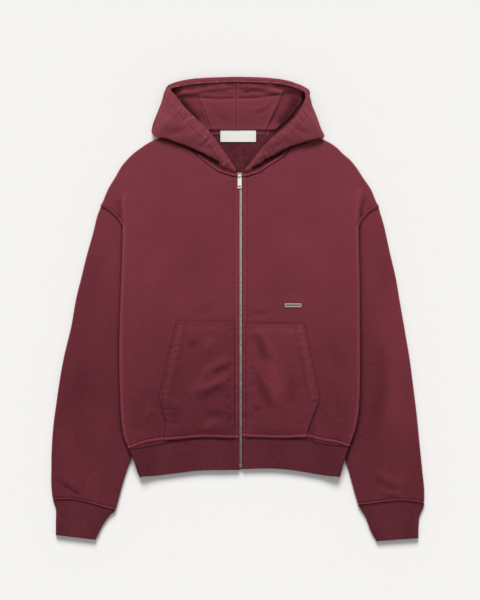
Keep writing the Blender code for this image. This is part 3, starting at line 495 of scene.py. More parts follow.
LEFT = Half(
    side=Wearer.LEFT,
    edge=Track((-334, 200, -302, 212.5, -274.5, 221.5, -236, 235, -195, 241.5, -135, 243.5,
                62, 242.5, 158, 240.5, 165, 241, 202.5, 282.5, 214, 276.5, 238, 266.5, 262, 250.5,
                286, 234.5, 298, 224.5, 310, 210.5, 322, 198.5, 334, 181, 341.5, 163, 352, 141,
                362, 119)),
    neck=Track((269.5, 9.4, 271, 20, 274, 30, 277.5, 40, 283.5, 49.5, 290, 59, 299, 73.5,
                309.5, 87.5, 322, 96, 335, 100, 350, 103, 362, 104)),
    tip=(282.5, 202.5), corner=(241, 165.5), end=(200, 129),
    inner=Track((-335, 226, -302, 214.5, -278, 208, -200, 200, -100, 197, 60, 197, 132, 200,
                 200, 200)),
    back_edge=Track((105, 236, 125, 231, 138, 220, 150, 209, 160, 217, 171.5, 247)),
    seam=Track((9, -255, 93, -257.5, 133, -256, 170.5, -263, 197, -267, 221.5, -274.5)),
    hem=Track((9, -319, 71.5, -317.5, 128, -321, 154.5, -325, 200, -334)),
    sleeve=((287.5, 184, 199, 108), (295, 154, 198, 84), (306.5, 102, 197, 55),
            (315.8, 62, 197, 25), (322.5, 22, 197, 0), (333, -38, 197, -45),
            (342.5, -98, 197, -98), (352.5, -170, 199, -170), (359.2, -228, 202, -228),
            (364.2, -280, 208.5, -280), (368.5, -322, 220, -318), (372.1, -356, 231.5, -360),
            (372.6, -389, 240.5, -391)),
    cuff=((372.4, -389.5, 240.7, -391.5), (368.4, -402, 246.9, -402), (363, -414, 256, -417),
          (360.8, -438, 264.5, -440), (360.7, -457, 277, -463.3)),
    corner_x=252, pocket_top=-29, pocket_inner=17.5, tack_y=-180,
    pocket_edge=Track((-262, 136.5, -248, 138.5, -190, 160, -174, 161, -29, 132), straight=True),
    hood=(
        (15.5, 272.6, 15.8, 273.4, 16, 274.4, 16, 276.5, 15, 279),
        (38.5, 284, 39.2, 285.5, 39.2, 287, 36, 294, 32, 300),
        (55.5, 297, 57.2, 297.5, 57.5, 299, 52.5, 308, 45.5, 317),
        (81.5, 315, 86.5, 313.5, 88.5, 314.5, 78.5, 327, 66, 338.5),
        (97, 337, 110, 332, 121, 328.5, 103, 344, 82, 352),
        (100.5, 351, 134, 341, 152, 334.5, 123, 354, 98, 364.5),
        (102.5, 366.5, 154, 355, 170.6, 343.5, 140, 366, 109, 376),
        (130, 372, 155, 366, 165, 360, 143, 380, 119, 388),
        (115, 390, 147, 388, 156.5, 384, 143, 395, 127, 400),
        (102, 405, 137, 407, 147.5, 405, 142, 410, 133.5, 414),
        (88, 416, 132, 424, 142, 423, 140, 424, 135.7, 425),
        (72, 422, 126, 435, 137, 439, 132, 438, 126, 435.5),
        (46, 426, 80, 450, 85, 457, 84, 454.5, 83, 448.3),
        (-3.4, 425, -3.4, 453, -3.4, 461.9, -3.4, 459, -3.4, 452.5),
    ),
    lining=Track((358, 74, 380, 100, 400, 116, 420, 128, 436, 129, 446, 110)),
)

HALVES = (RIGHT, LEFT)


# ---- finishes


def linear(code: str) -> tuple[float, ...]:
    """Linear colour of an sRGB hex code such as #76343D."""
    channels = [int(code[i:i + 2], 16) / 255 for i in (1, 3, 5)]
    return (*[c / 12.92 if c <= 0.04045 else ((c + 0.055) / 1.055) ** 2.4 for c in channels], 1.0)


def add_node(tree: NodeTree, kind: str, settings: dict, output: int | str = 0) -> NodeSocket:
    """Adds a node.

    Args:
        tree: the material's nodes.
        kind: Blender's type name, without ShaderNode.
        settings: by name or number of an input, its value or the output that feeds it;
            and by name, other settings of the node.
        output: the output that is wanted.

    Returns:
        That output.
    """
    made = tree.nodes.new(f"ShaderNode{kind}")
    for key, value in settings.items():
        if isinstance(value, NodeSocket):
            tree.links.new(value, made.inputs[key])
        elif isinstance(key, int) or key in made.inputs:
            made.inputs[key].default_value = value
        else:
            setattr(made, key, value)
    return made.outputs[output]


def weigh(tree: NodeTree, base: float, *parts: tuple[NodeSocket, float]) -> NodeSocket:
    """Sums up patterns.

    Args:
        tree: the material's nodes.
        base: what they are added to.
        parts: each pattern, and its share.

    Returns:
        The sum.
    """
    for value, share in parts:
        base = add_node(tree, "Math", {"operation": "MULTIPLY_ADD", 0: value, 1: share, 2: base})
    return base


def cross_lines(tree: NodeTree, place: NodeSocket, across: Pair, along: Pair) -> list[NodeSocket]:
    """Soft stripes both ways, such as the wales and courses of a knit.

    Args:
        tree: the material's nodes.
        place: where the pattern lies, in metres.
        across: pitch across the piece in millimetres, and how far the lines wander.
        along: the same along it.

    Returns:
        Both patterns.
    """
    return [add_node(tree, "TexWave", {
        "bands_direction": way, "Scale": 2 * math.pi / (20 * pitch * MM), "Distortion": wander,
        "Detail": 1.0, "Detail Scale": 2.0, "Vector": place}, "Fac")
        for way, (pitch, wander) in (("X", across), ("Y", along))]


@dataclass(frozen=True)
class Finish:
    """A material: what its colour and its relief follow."""

    name: str

    def make(self) -> Material:
        """Builds the material around its Principled shader.

        Returns:
            The material.
        """
        made = bpy.data.materials.new(self.name)
        made.use_nodes = True
        self.paint(made.node_tree)
        return made

    def paint(self, tree: NodeTree) -> None:
        """Adds the nodes; each kind of finish has its own."""
        raise NotImplementedError

    @staticmethod
    def join(tree: NodeTree, shade: NodeSocket, stops: Sequence[tuple[float, str]],
             height: NodeSocket, depth: float, **values: object) -> None:
        """Joins colour and relief to the shader.

        Args:
            tree: the material's nodes.
            shade: what the colour follows.
            stops: place and hex code of each colour.
            height: what the relief follows.
            depth: depth of the relief, in millimetres.
            values: the shader's other inputs, with _ for each space.
        """
        colour = add_node(tree, "ValToRGB", {"Fac": shade})
        band = colour.node.color_ramp
        while len(band.elements) < len(stops):
            band.elements.new(0.5)
        for element, (place, code) in zip(band.elements, stops):
            element.position, element.color = place, linear(code)
        normal = add_node(tree, "Bump", {"Strength": 0.7, "Distance": depth * MM, "Height": height})
        inputs = tree.nodes["Principled BSDF"].inputs
        for key, value in {"Base Color": colour, "Normal": normal, **values}.items():
            if isinstance(value, NodeSocket):
                tree.links.new(value, inputs[key])
            else:
                inputs[key.replace("_", " ")].default_value = value


@dataclass(frozen=True)
class Jersey(Finish):
    """Heavy cotton jersey, knitted, dyed as a garment and washed.

    The colour is faintly mottled. The cloth's attribute makes it lighter on ridges and
    darker in seams, folds and slits, and darker towards hem and sleeve ends: partly rubbed
    wear of the washed cloth, mostly painted highlight, painted shade and painted light
    falloff. Fine wales run along the piece, and short fibres give a soft sheen at the edges.
    A wale is about 0.9 mm in fact, and is drawn 1.5 mm wide so that it shows.
    """

    dark: str
    main: str
    light: str
    wale: float = 1.5

    def paint(self, tree: NodeTree) -> None:
        """Draws the knit on the cloth's own UV map, which is in metres.

        Args:
            tree: the material's nodes.
        """
        place = add_node(tree, "UVMap", {"uv_map": "UVMap"})
        wales, courses = cross_lines(tree, place, (self.wale, 1.6), (self.wale * 0.8, 2.0))
        mottle, stain, fibre = (
            add_node(tree, "TexNoise", {"Scale": scale, "Detail": detail, "Roughness": rough,
                                        "Vector": place}, "Fac")
            for scale, detail, rough in ((160.0, 4.0, 0.62), (11.0, 2.0, 0.5), (1500.0, 2.0, 0.5)))
        # The attribute holds wear of the washed cloth and painted light and shade.
        wear = add_node(tree, "Attribute", {"attribute_name": "wear"}, "Fac")
        shade = weigh(tree, 0.36, (mottle, 0.22), (stain, 0.10), (wales, 0.04), (wear, 0.5))
        # The darkest stops serve painted shadow in slits and deep grooves, the lightest painted highlights.
        stops = ((0.0, "#17060A"), (0.25, self.dark), (0.54, self.main), (0.80, self.light),
                 (1.0, "#9A5660"))
        self.join(tree, shade, stops, weigh(tree, fibre, (wales, 0.5), (courses, 0.35)), 0.17,
                  Roughness=0.95, Specular_IOR_Level=0.18, Sheen_Weight=0.45, Sheen_Roughness=0.35,
                  Sheen_Tint=linear("#C07A84"))


@dataclass(frozen=True)
class Terry(Finish):
    """Inner face of the jersey: small unbrushed loops, which look dull and darker."""

    dark: str
    light: str
    loop: float = 1.8

    def paint(self, tree: NodeTree) -> None:
        """Draws the loops as cells that are a little longer than wide.

        Args:
            tree: the material's nodes.
        """
        place = add_node(tree, "UVMap", {"uv_map": "UVMap"})
        longer = add_node(tree, "Mapping", {"Scale": (1.0, 0.6, 1.0), "Vector": place})
        cells = add_node(tree, "TexVoronoi", {"Scale": 1000 / self.loop, "Randomness": 0.7,
                                              "Vector": longer})
        stain = add_node(tree, "TexNoise", {"Scale": 60.0, "Vector": place}, "Fac")
        self.join(tree, weigh(tree, 0.33, (stain, 0.35), (cells, -0.5)),
                  ((0.05, self.dark), (0.45, self.light)), weigh(tree, 1.0, (cells, -1.0)), 0.6,
                  Roughness=1.0, Specular_IOR_Level=0.1, Sheen_Weight=0.15)


@dataclass(frozen=True)
class Rib(Finish):
    """Rib knit of cuffs and waistband: raised wales, with painted shade between them.

    The ribs themselves are in the mesh; this adds the stitches along each one.
    """

    dark: str
    main: str
    light: str
    pitch: float = 2.8

    def paint(self, tree: NodeTree) -> None:
        """Draws the stitches on the UV map, whose X counts across the ribs.

        Args:
            tree: the material's nodes.
        """
        place = add_node(tree, "UVMap", {"uv_map": "UVMap"})
        wales, courses = cross_lines(tree, place, (self.pitch, 0.0), (1.2, 2.5))
        mottle = add_node(tree, "TexNoise", {"Scale": 90.0, "Detail": 4.0, "Roughness": 0.6,
                                             "Vector": place}, "Fac")
        wear = add_node(tree, "Attribute", {"attribute_name": "wear"}, "Fac")
        # Painted shade: the wales darken the colour between the ribs; the attribute adds painted light and
        # shade of ribs and rolled edges.
        shade = weigh(tree, 0.385, (mottle, 0.16), (wales, 0.10), (wear, 0.5))
        stops = ((0.0, "#1E080C"), (0.25, self.dark), (0.52, self.main), (0.85, self.light))
        self.join(tree, shade, stops, courses, 0.18, Roughness=0.95, Specular_IOR_Level=0.15,
                  Sheen_Weight=0.2, Sheen_Tint=linear("#B87880"))


@dataclass(frozen=True)
class Woven(Finish):
    """Plain woven polyester: tape, label and thread; smooth yarn with a faint lustre."""

    dark: str
    light: str
    yarn: float = 0.8
    roughness: float = 0.7

    def paint(self, tree: NodeTree) -> None:
        """Draws the weave on Object coordinates, over and under in both directions.

        Args:
            tree: the material's nodes.
        """
        place = add_node(tree, "TexCoord", {}, "Object")
        warp, weft = cross_lines(tree, place, (self.yarn, 0.0), (self.yarn, 0.0))
        weave = add_node(tree, "Math", {"operation": "MULTIPLY", 0: warp, 1: weft})
        self.join(tree, weave, ((0.0, self.dark), (0.6, self.light)), weave, 0.05,
                  Roughness=self.roughness, Specular_IOR_Level=0.3)


@dataclass(frozen=True)
class Nickel(Finish):
    """Plated brass: tumbled or polished, with fine scratches and a dull film in random patches.

    Faces that don't look up, such as edges and the walls of holes, take the side colour as
    painted shade. bare is the share of the surface that isn't under a chalky film. The last
    field paints the metal lighter for each metre towards the neck, the side the light comes from.
    """

    main: str
    film: str
    side: str = "#4A423D"
    roughness: float = 0.52
    grain: float = 0.25
    bare: float = 1.0
    painted_brightening: float = 0.0

    def paint(self, tree: NodeTree) -> None:
        """Draws the metal; the scratches run along the piece.

        Args:
            tree: the material's nodes.
        """
        place = add_node(tree, "TexCoord", {}, "Object")
        longer = add_node(tree, "Mapping", {"Scale": (3200.0, 260.0, 3200.0), "Vector": place})
        scratch = add_node(tree, "TexNoise", {"Scale": 1.0, "Vector": longer}, "Fac")
        # Painted shade: faces that don't look up take the side colour.
        facing = add_node(tree, "NewGeometry", {}, "Normal")
        up = add_node(tree, "SeparateXYZ", {0: facing}, "Z")
        up = add_node(tree, "MapRange", {"From Min": 0.45, "From Max": 0.9, "Value": up})
        cloud = add_node(tree, "TexNoise", {"Scale": 260.0, "Detail": 3.0, "Vector": place}, "Fac")
        shade = weigh(tree, 0.3, (cloud, 0.5))
        # Painted light: the metal is lighter towards the neck.
        if self.painted_brightening:
            level = add_node(tree, "SeparateXYZ", {0: place}, "Y")
            shade = weigh(tree, shade, (level, self.painted_brightening))
        shade = add_node(tree, "Math", {"operation": "MULTIPLY", 0: shade, 1: up})
        self.join(tree, shade, ((0.0, self.side), (0.4, self.film), (0.65, self.main)), scratch, 0.006,
                  Metallic=self.bare, Roughness=weigh(tree, self.roughness * 0.8, (scratch, self.grain)))


@dataclass(frozen=True)
class Paper(Finish):
    """Matt seamless paper sweep of the studio, smooth at this distance."""

    tone: str

    def paint(self, tree: NodeTree) -> None:
        """Draws a very faint fleck.

        Args:
            tree: the material's nodes.
        """
        place = add_node(tree, "TexCoord", {}, "Object")
        fleck = add_node(tree, "TexNoise", {"Scale": 300.0, "Vector": place}, "Fac")
        self.join(tree, fleck, ((0.0, self.tone), (1.0, self.tone)), fleck, 0.007,
                  Roughness=0.9, Specular_IOR_Level=0.1)


def worn(finish: Finish) -> Material:
    """A wardrobe's field that holds a finish's material."""
    return field(default_factory=finish.make)


@dataclass(frozen=True)
class Wardrobe:
    """Every finish of the garment, made once."""

    jersey: Material = worn(Jersey("washed_jersey", "#46161E", "#702D38", "#803B45"))
    terry: Material = worn(Terry("unbrushed_terry", "#3F151B", "#692B34"))
    rib: Material = worn(Rib("rib_knit", "#42161E", "#6B2C37", "#7B3A44"))
    thread: Material = worn(Woven("spun_polyester_thread", "#50202A", "#73353F", yarn=0.5))
    tape: Material = worn(Woven("zip_tape_twill", "#2C1115", "#42191F"))
    binding: Material = worn(Woven("neck_binding", "#5A232D", "#7B3541"))
    label: Material = worn(Woven("satin_label", "#E0DED8", "#EFEDE8", yarn=0.6, roughness=0.5))
    # The teeth are painted lighter towards the neck.
    teeth: Material = worn(Nickel("nickel_teeth", "#FBF1EA", "#A79C95", roughness=0.46,
                                  bare=0.65, painted_brightening=0.55))
    # The pull's near black side colour paints shade on its edges and in its slot.
    pull: Material = worn(Nickel("tumbled_nickel", "#FFFEFB", "#F3F1EC", side="#1C1816",
                                 roughness=0.66, grain=0.05, bare=0.5))
    badge: Material = worn(Nickel("brushed_nickel_plate", "#C6BEB3", "#A79E94"))
    recess: Material = worn(Nickel("oxidised_nickel_recess", "#8E857D", "#6E665F"))


# ---- mesh tools


def deselect_all() -> None:
    for piece in bpy.context.selected_objects:
        piece.select_set(False)


def select_only(piece: Object) -> None:
    """Makes one piece the selected and active one.

    Args:
        piece: the piece.
    """
    deselect_all()
    piece.select_set(True)
    bpy.context.view_layer.objects.active = piece


def modify(piece: Object, kind: str, name: str, **values: object) -> None:
    """Adds a modifier and applies it.

    Args:
        piece: what it works on.
        kind: Blender's name of its kind.
        name: its own name.
        values: its settings.
    """
    added = piece.modifiers.new(name, kind)
    for key, value in values.items():
        setattr(added, key, value)
    select_only(piece)
    bpy.ops.object.modifier_apply(modifier=name)


def finish_piece(piece: Object, material: Material, angle: float) -> None:
    """Shades a piece, dresses it and hangs it on the garment.

    Args:
        piece: the finished mesh object.
        material: its finish.
        angle: edges sharper than this stay sharp, in degrees.
    """
    select_only(piece)
    bpy.ops.object.shade_smooth_by_angle(angle=math.radians(angle))
    piece.data.materials.clear()
    piece.data.materials.append(material)
    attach(piece, "garment")


def add_object(name: str, data: bpy.types.ID) -> Object:
    """Puts a mesh, lamp or camera in the scene.

    Args:
        name: name of the new object.
        data: what it shows.

    Returns:
        The object.
    """
    added = bpy.data.objects.new(name, data)
    bpy.context.scene.collection.objects.link(added)
    return added


def joined_copies(name: str, copies: Array, faces: Faces) -> Object:
    """Joins placed copies of a small shape.

    Args:
        name: name of the piece.
        copies: the points of each copy.
        faces: the faces of one.

    Returns:
        One object with all of them.
    """
    count = copies.shape[1]
    mesh = bpy.data.meshes.new(name)
    mesh.from_pydata((copies.reshape(-1, 3) * MM).tolist(), [],
                     [tuple(i + k * count for i in face) for k in range(len(copies)) for face in faces])
    mesh.update()
    return add_object(name, mesh)


def take_shape(seed: Object) -> tuple[Array, Faces]:
    """Takes a small object apart and removes it.

    Args:
        seed: the object.

    Returns:
        Its vertices and faces.
    """
    vertices = np.array([v.co for v in seed.data.vertices])
    faces = [tuple(p.vertices) for p in seed.data.polygons]
    bpy.data.objects.remove(seed, do_unlink=True)
    return vertices, faces


def fade(x: Array, y: Array) -> Array:
    """Painted light falloff: lighter at chest and hood, darker towards hem and sleeve ends
    and on the outer sleeves, and lighter on part of the wearer's left sleeve.

    Args:
        x, y: places in plan.

    Returns:
        The painted light there.
    """
    levels = (-460, -330, -200, -60, 60, 200, 340)
    down = np.interp(y, levels, (-0.24, -0.31, -0.30, -0.15, 0.0, 0.03, 0.16))
    out = between(170, 330, np.abs(x)) * between(230, 120, y)
    # Painted light: part of the wearer's left sleeve lighter.
    painted_brightening = 0.20 * between(240, 330, x) * between(-300, -200, y) * between(150, 20, y)
    low = mix(0.7, 1, between(-250, -150, y)) * between(200, 40, y)
    return down * (1 - 0.35 * out) - 0.16 * out * low + painted_brightening


class ClothGrid:
    """A grid of points on the middle of a cloth's wall, in millimetres.

    Rows run along the piece and columns across it. turn is 1 where the normals that
    follow from this order point outwards, and -1 where they point inwards. finished
    holds what has been handed over, by name, for the topstitching.
    """

    finished: ClassVar[dict[str, ClothGrid]] = {}

    def __init__(self, name: str, points: Sequence, turn: int = 1, closed: bool = False) -> None:
        """Keeps the points.

        Args:
            name: name of the solid that the piece stands for.
            points: rows, columns and three coordinates.
            turn: sign of the outward normal.
            closed: whether the last column lies on the first.
        """
        self.name = name
        self.points = np.array(points)
        self.turn = turn
        self.closed = closed
        # The colour starts with the painted light falloff of fade.
        self.wear = fade(self.points[..., 0], self.points[..., 1])

    def plan(self) -> Array:
        """x and y of each point."""
        return np.moveaxis(self.points[..., :2], 2, 0)

    def normals(self) -> Array:
        """Finds the outward unit normal at each point.

        Returns:
            The normals, in the order of the points.
        """
        down = np.gradient(self.points, axis=0)
        if self.closed:
            around = np.concatenate((self.points[:, -2:-1], self.points, self.points[:, 1:2]), axis=1)
            across = (around[:, 2:] - around[:, :-2]) / 2
        else:
            across = np.gradient(self.points, axis=1)
        normal = np.cross(across, down) * self.turn
        return normal / np.maximum(np.linalg.norm(normal, axis=2, keepdims=True), 1e-9)

    def raise_by(self, amount: Values) -> None:
        """Moves each point outwards by its own amount."""
        amount = np.broadcast_to(amount, self.points.shape[:2])
        self.points = self.points + self.normals() * amount[..., None]

    def lift(self, amount: Values, floor: float = -FAR) -> None:
        """Moves each point up by its own amount, and never below a floor."""
        self.points[..., 2] = np.maximum(self.points[..., 2] + amount, floor)

    def distance(self, axis: int) -> Array:
        """Way to each point from the first row (axis 0) or the first column (axis 1)."""
        return way(self.points, axis)

    def bow(self, start: Pair, end: Pair, rise: float, reach: float, lean: float) -> None:
        """Curves a straight seam and the cloth beside it, in plan.

        Args:
            start: one end of the seam.
            end: its other end.
            rise: how far its highest place lies above the line between its ends.
            reach: distance over which this dies out.
            lean: above 1 puts the highest place nearer to the second end.
        """
        start, end = np.array(start, float), np.array(end, float)
        length = np.linalg.norm(end - start)
        normal = square_to(start, end, (0, 1))
        plan = self.points[..., :2] - start
        share = np.clip(plan @ (end - start) / length / length, 0, 1)
        amount = rise * np.sin(math.pi * share ** lean) * bell(plan @ normal, reach)
        self.points[..., :2] += amount[..., None] * normal

    def bow_armhole(self, half: Half) -> None:
        """Curves the part of the armhole seam that shows."""
        self.bow(half.tip, half.corner, 6.0, 16.0, 0.8)

    def bow_cuff_seam(self, half: Half) -> None:
        """Curves the seam between sleeve and cuff, highest towards the outer fold."""
        last = half.sleeve[-1]
        self.bow(last[2:], last[:2], 7.5, 20.0, 1.5)

    def line(self, where: tuple, lift: float) -> Line:
        """Picks the points of a seam by row and column, lifted off the middle of the wall."""
        normal = self.normals()[where]
        return self.points[where] + normal * lift, normal

    def build(self, wall: float, rounding: float, plan: bool) -> Object:
        """Makes the piece: a grid primitive moved to the points, walled and rounded.

        Args:
            wall: thickness of the cloth.
            rounding: width of the rounding of its free edges, or 0.
            plan: whether the UV map is the plan, not the length along the cloth.

        Returns:
            The finished object, with a UV map in metres of cloth.
        """
        rows, columns = self.points.shape[:2]
        deselect_all()
        bpy.ops.mesh.primitive_grid_add(x_subdivisions=columns - 1, y_subdivisions=rows - 1, size=1.0)
        piece = bpy.context.object
        mesh = piece.data
        piece.name = mesh.name = f"{self.name}_cloth"
        mesh.vertices.foreach_set("co", (self.points * MM).ravel())
        corner = np.empty(len(mesh.loops), int)
        mesh.loops.foreach_get("vertex_index", corner)
        steady = np.median(self.distance(1), axis=0) + np.zeros((rows, 1))
        flat = self.points[..., :2] if plan else np.stack((steady, self.distance(0)), axis=2)
        mesh.uv_layers["UVMap"].data.foreach_set("uv", (flat.reshape(-1, 2) * MM)[corner].ravel())
        # The attribute carries wear of the washed cloth and painted light and shade to the colour.
        wear = mesh.attributes.new("wear", "FLOAT", "POINT")
        wear.data.foreach_set("value", np.clip(self.wear, -0.9, 0.9).ravel())
        mesh.update()
        if self.closed:
            bpy.ops.object.mode_set(mode="EDIT")
            bpy.ops.mesh.select_all(action="SELECT")
            bpy.ops.mesh.remove_doubles(threshold=0.00001)
            bpy.ops.object.mode_set(mode="OBJECT")
        modify(piece, "SOLIDIFY", "wall", thickness=wall * MM, offset=0.0)
        if rounding:
            modify(piece, "BEVEL", "rounded_edges", width=rounding * MM, segments=2, limit_method="ANGLE",
                   angle_limit=math.radians(55))
        return piece

    def hand_over(self, material: Material, slot: str, flat: Pair, rests_on: Sequence[str],
                  held: str = "laid", wall: float = FLEECE, rounding: float = 0.9, plan: bool = False,
                  angle: float = 50.0) -> None:
        """Builds and dresses the piece.

        Args:
            material: its finish.
            slot: the record's material slot; not used.
            flat: width and length of the cut that shows, in metres; not used.
            rests_on: what it lies on; not used.
            held: laid, or folded; not used.
            wall: thickness of the cloth.
            rounding: width of the rounding of its free edges, or 0.
            plan: whether the UV map is the plan.
            angle: edges sharper than this stay sharp, in degrees.
        """
        piece = self.build(wall, rounding, plan)
        finish_piece(piece, material, angle)
        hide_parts(self.name)
        self.finished[self.name] = self


@dataclass(frozen=True)
class Stitching:
    """Rows of lockstitch: short lengths of thread that sink in at both ends."""

    pitch: float = 3.4
    length: float = 2.7
    thick: float = 0.42

    def one(self) -> tuple[Array, Faces]:
        """Models a single stitch.

        Returns:
            Its vertices and faces.
        """
        deselect_all()
        bpy.ops.mesh.primitive_uv_sphere_add(segments=6, ring_count=4, radius=1.0)
        vertices, faces = take_shape(bpy.context.object)
        turned = vertices[:, (2, 1, 0)] * (1, 1, -1)
        return turned * (self.length / 2, self.thick / 2, self.thick / 2), faces

    def sew(self, name: str, lines: Sequence[Line], material: Material) -> None:
        """Copies the stitch along every line.

        Args:
            name: name of the piece.
            lines: points and outward normals of each row of stitches.
            material: the thread's finish.
        """
        seed, faces = self.one()
        placed = []
        for points, normals in lines:
            run = way(points, 0)
            centres = np.arange(self.pitch / 2, run[-1] - self.pitch / 2, self.pitch)
            start, middle, end = (np.stack([np.interp(centres + d, run, p) for p in points.T], axis=1)
                                  for d in (-self.length / 2, 0.0, self.length / 2))
            up = np.stack([np.interp(centres, run, n) for n in normals.T], axis=1)
            along = (end - start) / np.linalg.norm(end - start, axis=1, keepdims=True)
            side = np.cross(up, along)
            side /= np.linalg.norm(side, axis=1, keepdims=True)
            frame = np.stack((along, side, np.cross(along, side)), axis=1)
            placed.append(middle[:, None] + seed @ frame)
        every = np.concatenate(placed)
        finish_piece(joined_copies(name, every, faces), material, 80)
        LOG.info("%s: %d stitches", name, len(every))


# ---- body


@dataclass(frozen=True)
class HalfPiece:
    """A cloth piece of one half."""

    half: Half
    wardrobe: Wardrobe


FRONT_FOLDS = {
    Wearer.RIGHT: (
        ((-229, 158, -228, 190, -227, 214, -222, 236), 2.6, 4.5, 0.25, 0, 0.1),
        ((-238, 166, -237, 192, -236, 222), -2.2, 5.5, 0.3, 0, 0.11),
        ((-206, 168, -200, 196, -188, 224), -1, 10, 0.5),
        ((-50, 180, -90, 80, -140, -10), -1.6, 34, 0.45),
        ((-130, 150, -160, 60, -176, -40), 1.2, 30, 0.45),
        ((-216, 120, -203, 40, -204, -120), 1.3, 12, 0.4),
        ((-165, -190, -186, -214, -205, -232), 1.5, 9, 0.4),
        ((-176, -150, -190, -200, -196, -250), -1.3, 9, 0.4),
        ((-40, 20, -60, -6, -96, -14), -1, 9, 0.4),
    ),
    Wearer.LEFT: (
        ((240, 160, 239, 190, 240, 218, 246, 246), 2.8, 5, 0.25, 0, 0.1),
        ((249, 166, 248, 194, 253, 224), -2.4, 6, 0.3, 0, 0.11),
        ((216, 168, 210, 196, 198, 224), -1, 10, 0.5),
        ((26, -6, 44, -12, 62, -4), -2.2, 6, 0.4),
        ((40, 60, 90, 30, 160, 40), -1.3, 26, 0.45),
        ((70, 190, 120, 120, 170, 60), 1.3, 34, 0.45),
        ((228, 120, 217, 40, 216, -120), 1.3, 12, 0.4),
        ((172, -196, 192, -214, 212, -238), 1.5, 9, 0.4),
        ((186, -140, 198, -190, 204, -244), -1.3, 9, 0.4),
        ((178, -60, 196, -100, 206, -150), -0.9, 12, 0.4),
    ),
}

# Painted shadow in the slits below the hood's flaps, laid into the colour of front and hood.
PAINTED_SLIT_SHADOWS = {
    Wearer.RIGHT: (
        ((-162, 342, -142, 338.5, -118, 329, -94, 319.5, -70, 309.5, -54, 301,
          -32, 289), -1, 2.4, 0.1, 0, 1.4),
        ((-94, 319, -70, 309.5, -54, 301, -33, 289.5), -1, 2.2, 0.15, 0, 2),
    ),
    Wearer.LEFT: (
        ((24, 279, 41, 286.5, 57, 295, 73, 303, 89, 315, 105, 323, 137, 333,
          172, 342), -1, 2.4, 0.08, 0, 1.4),
        ((27, 280, 41, 286.5, 57, 295, 70, 301.5), -1, 2.4, 0.2, 0, 2),
        ((64, 300, 82, 310, 100, 320), -1, 5, 0.3, 0, 0.5),
    ),
}


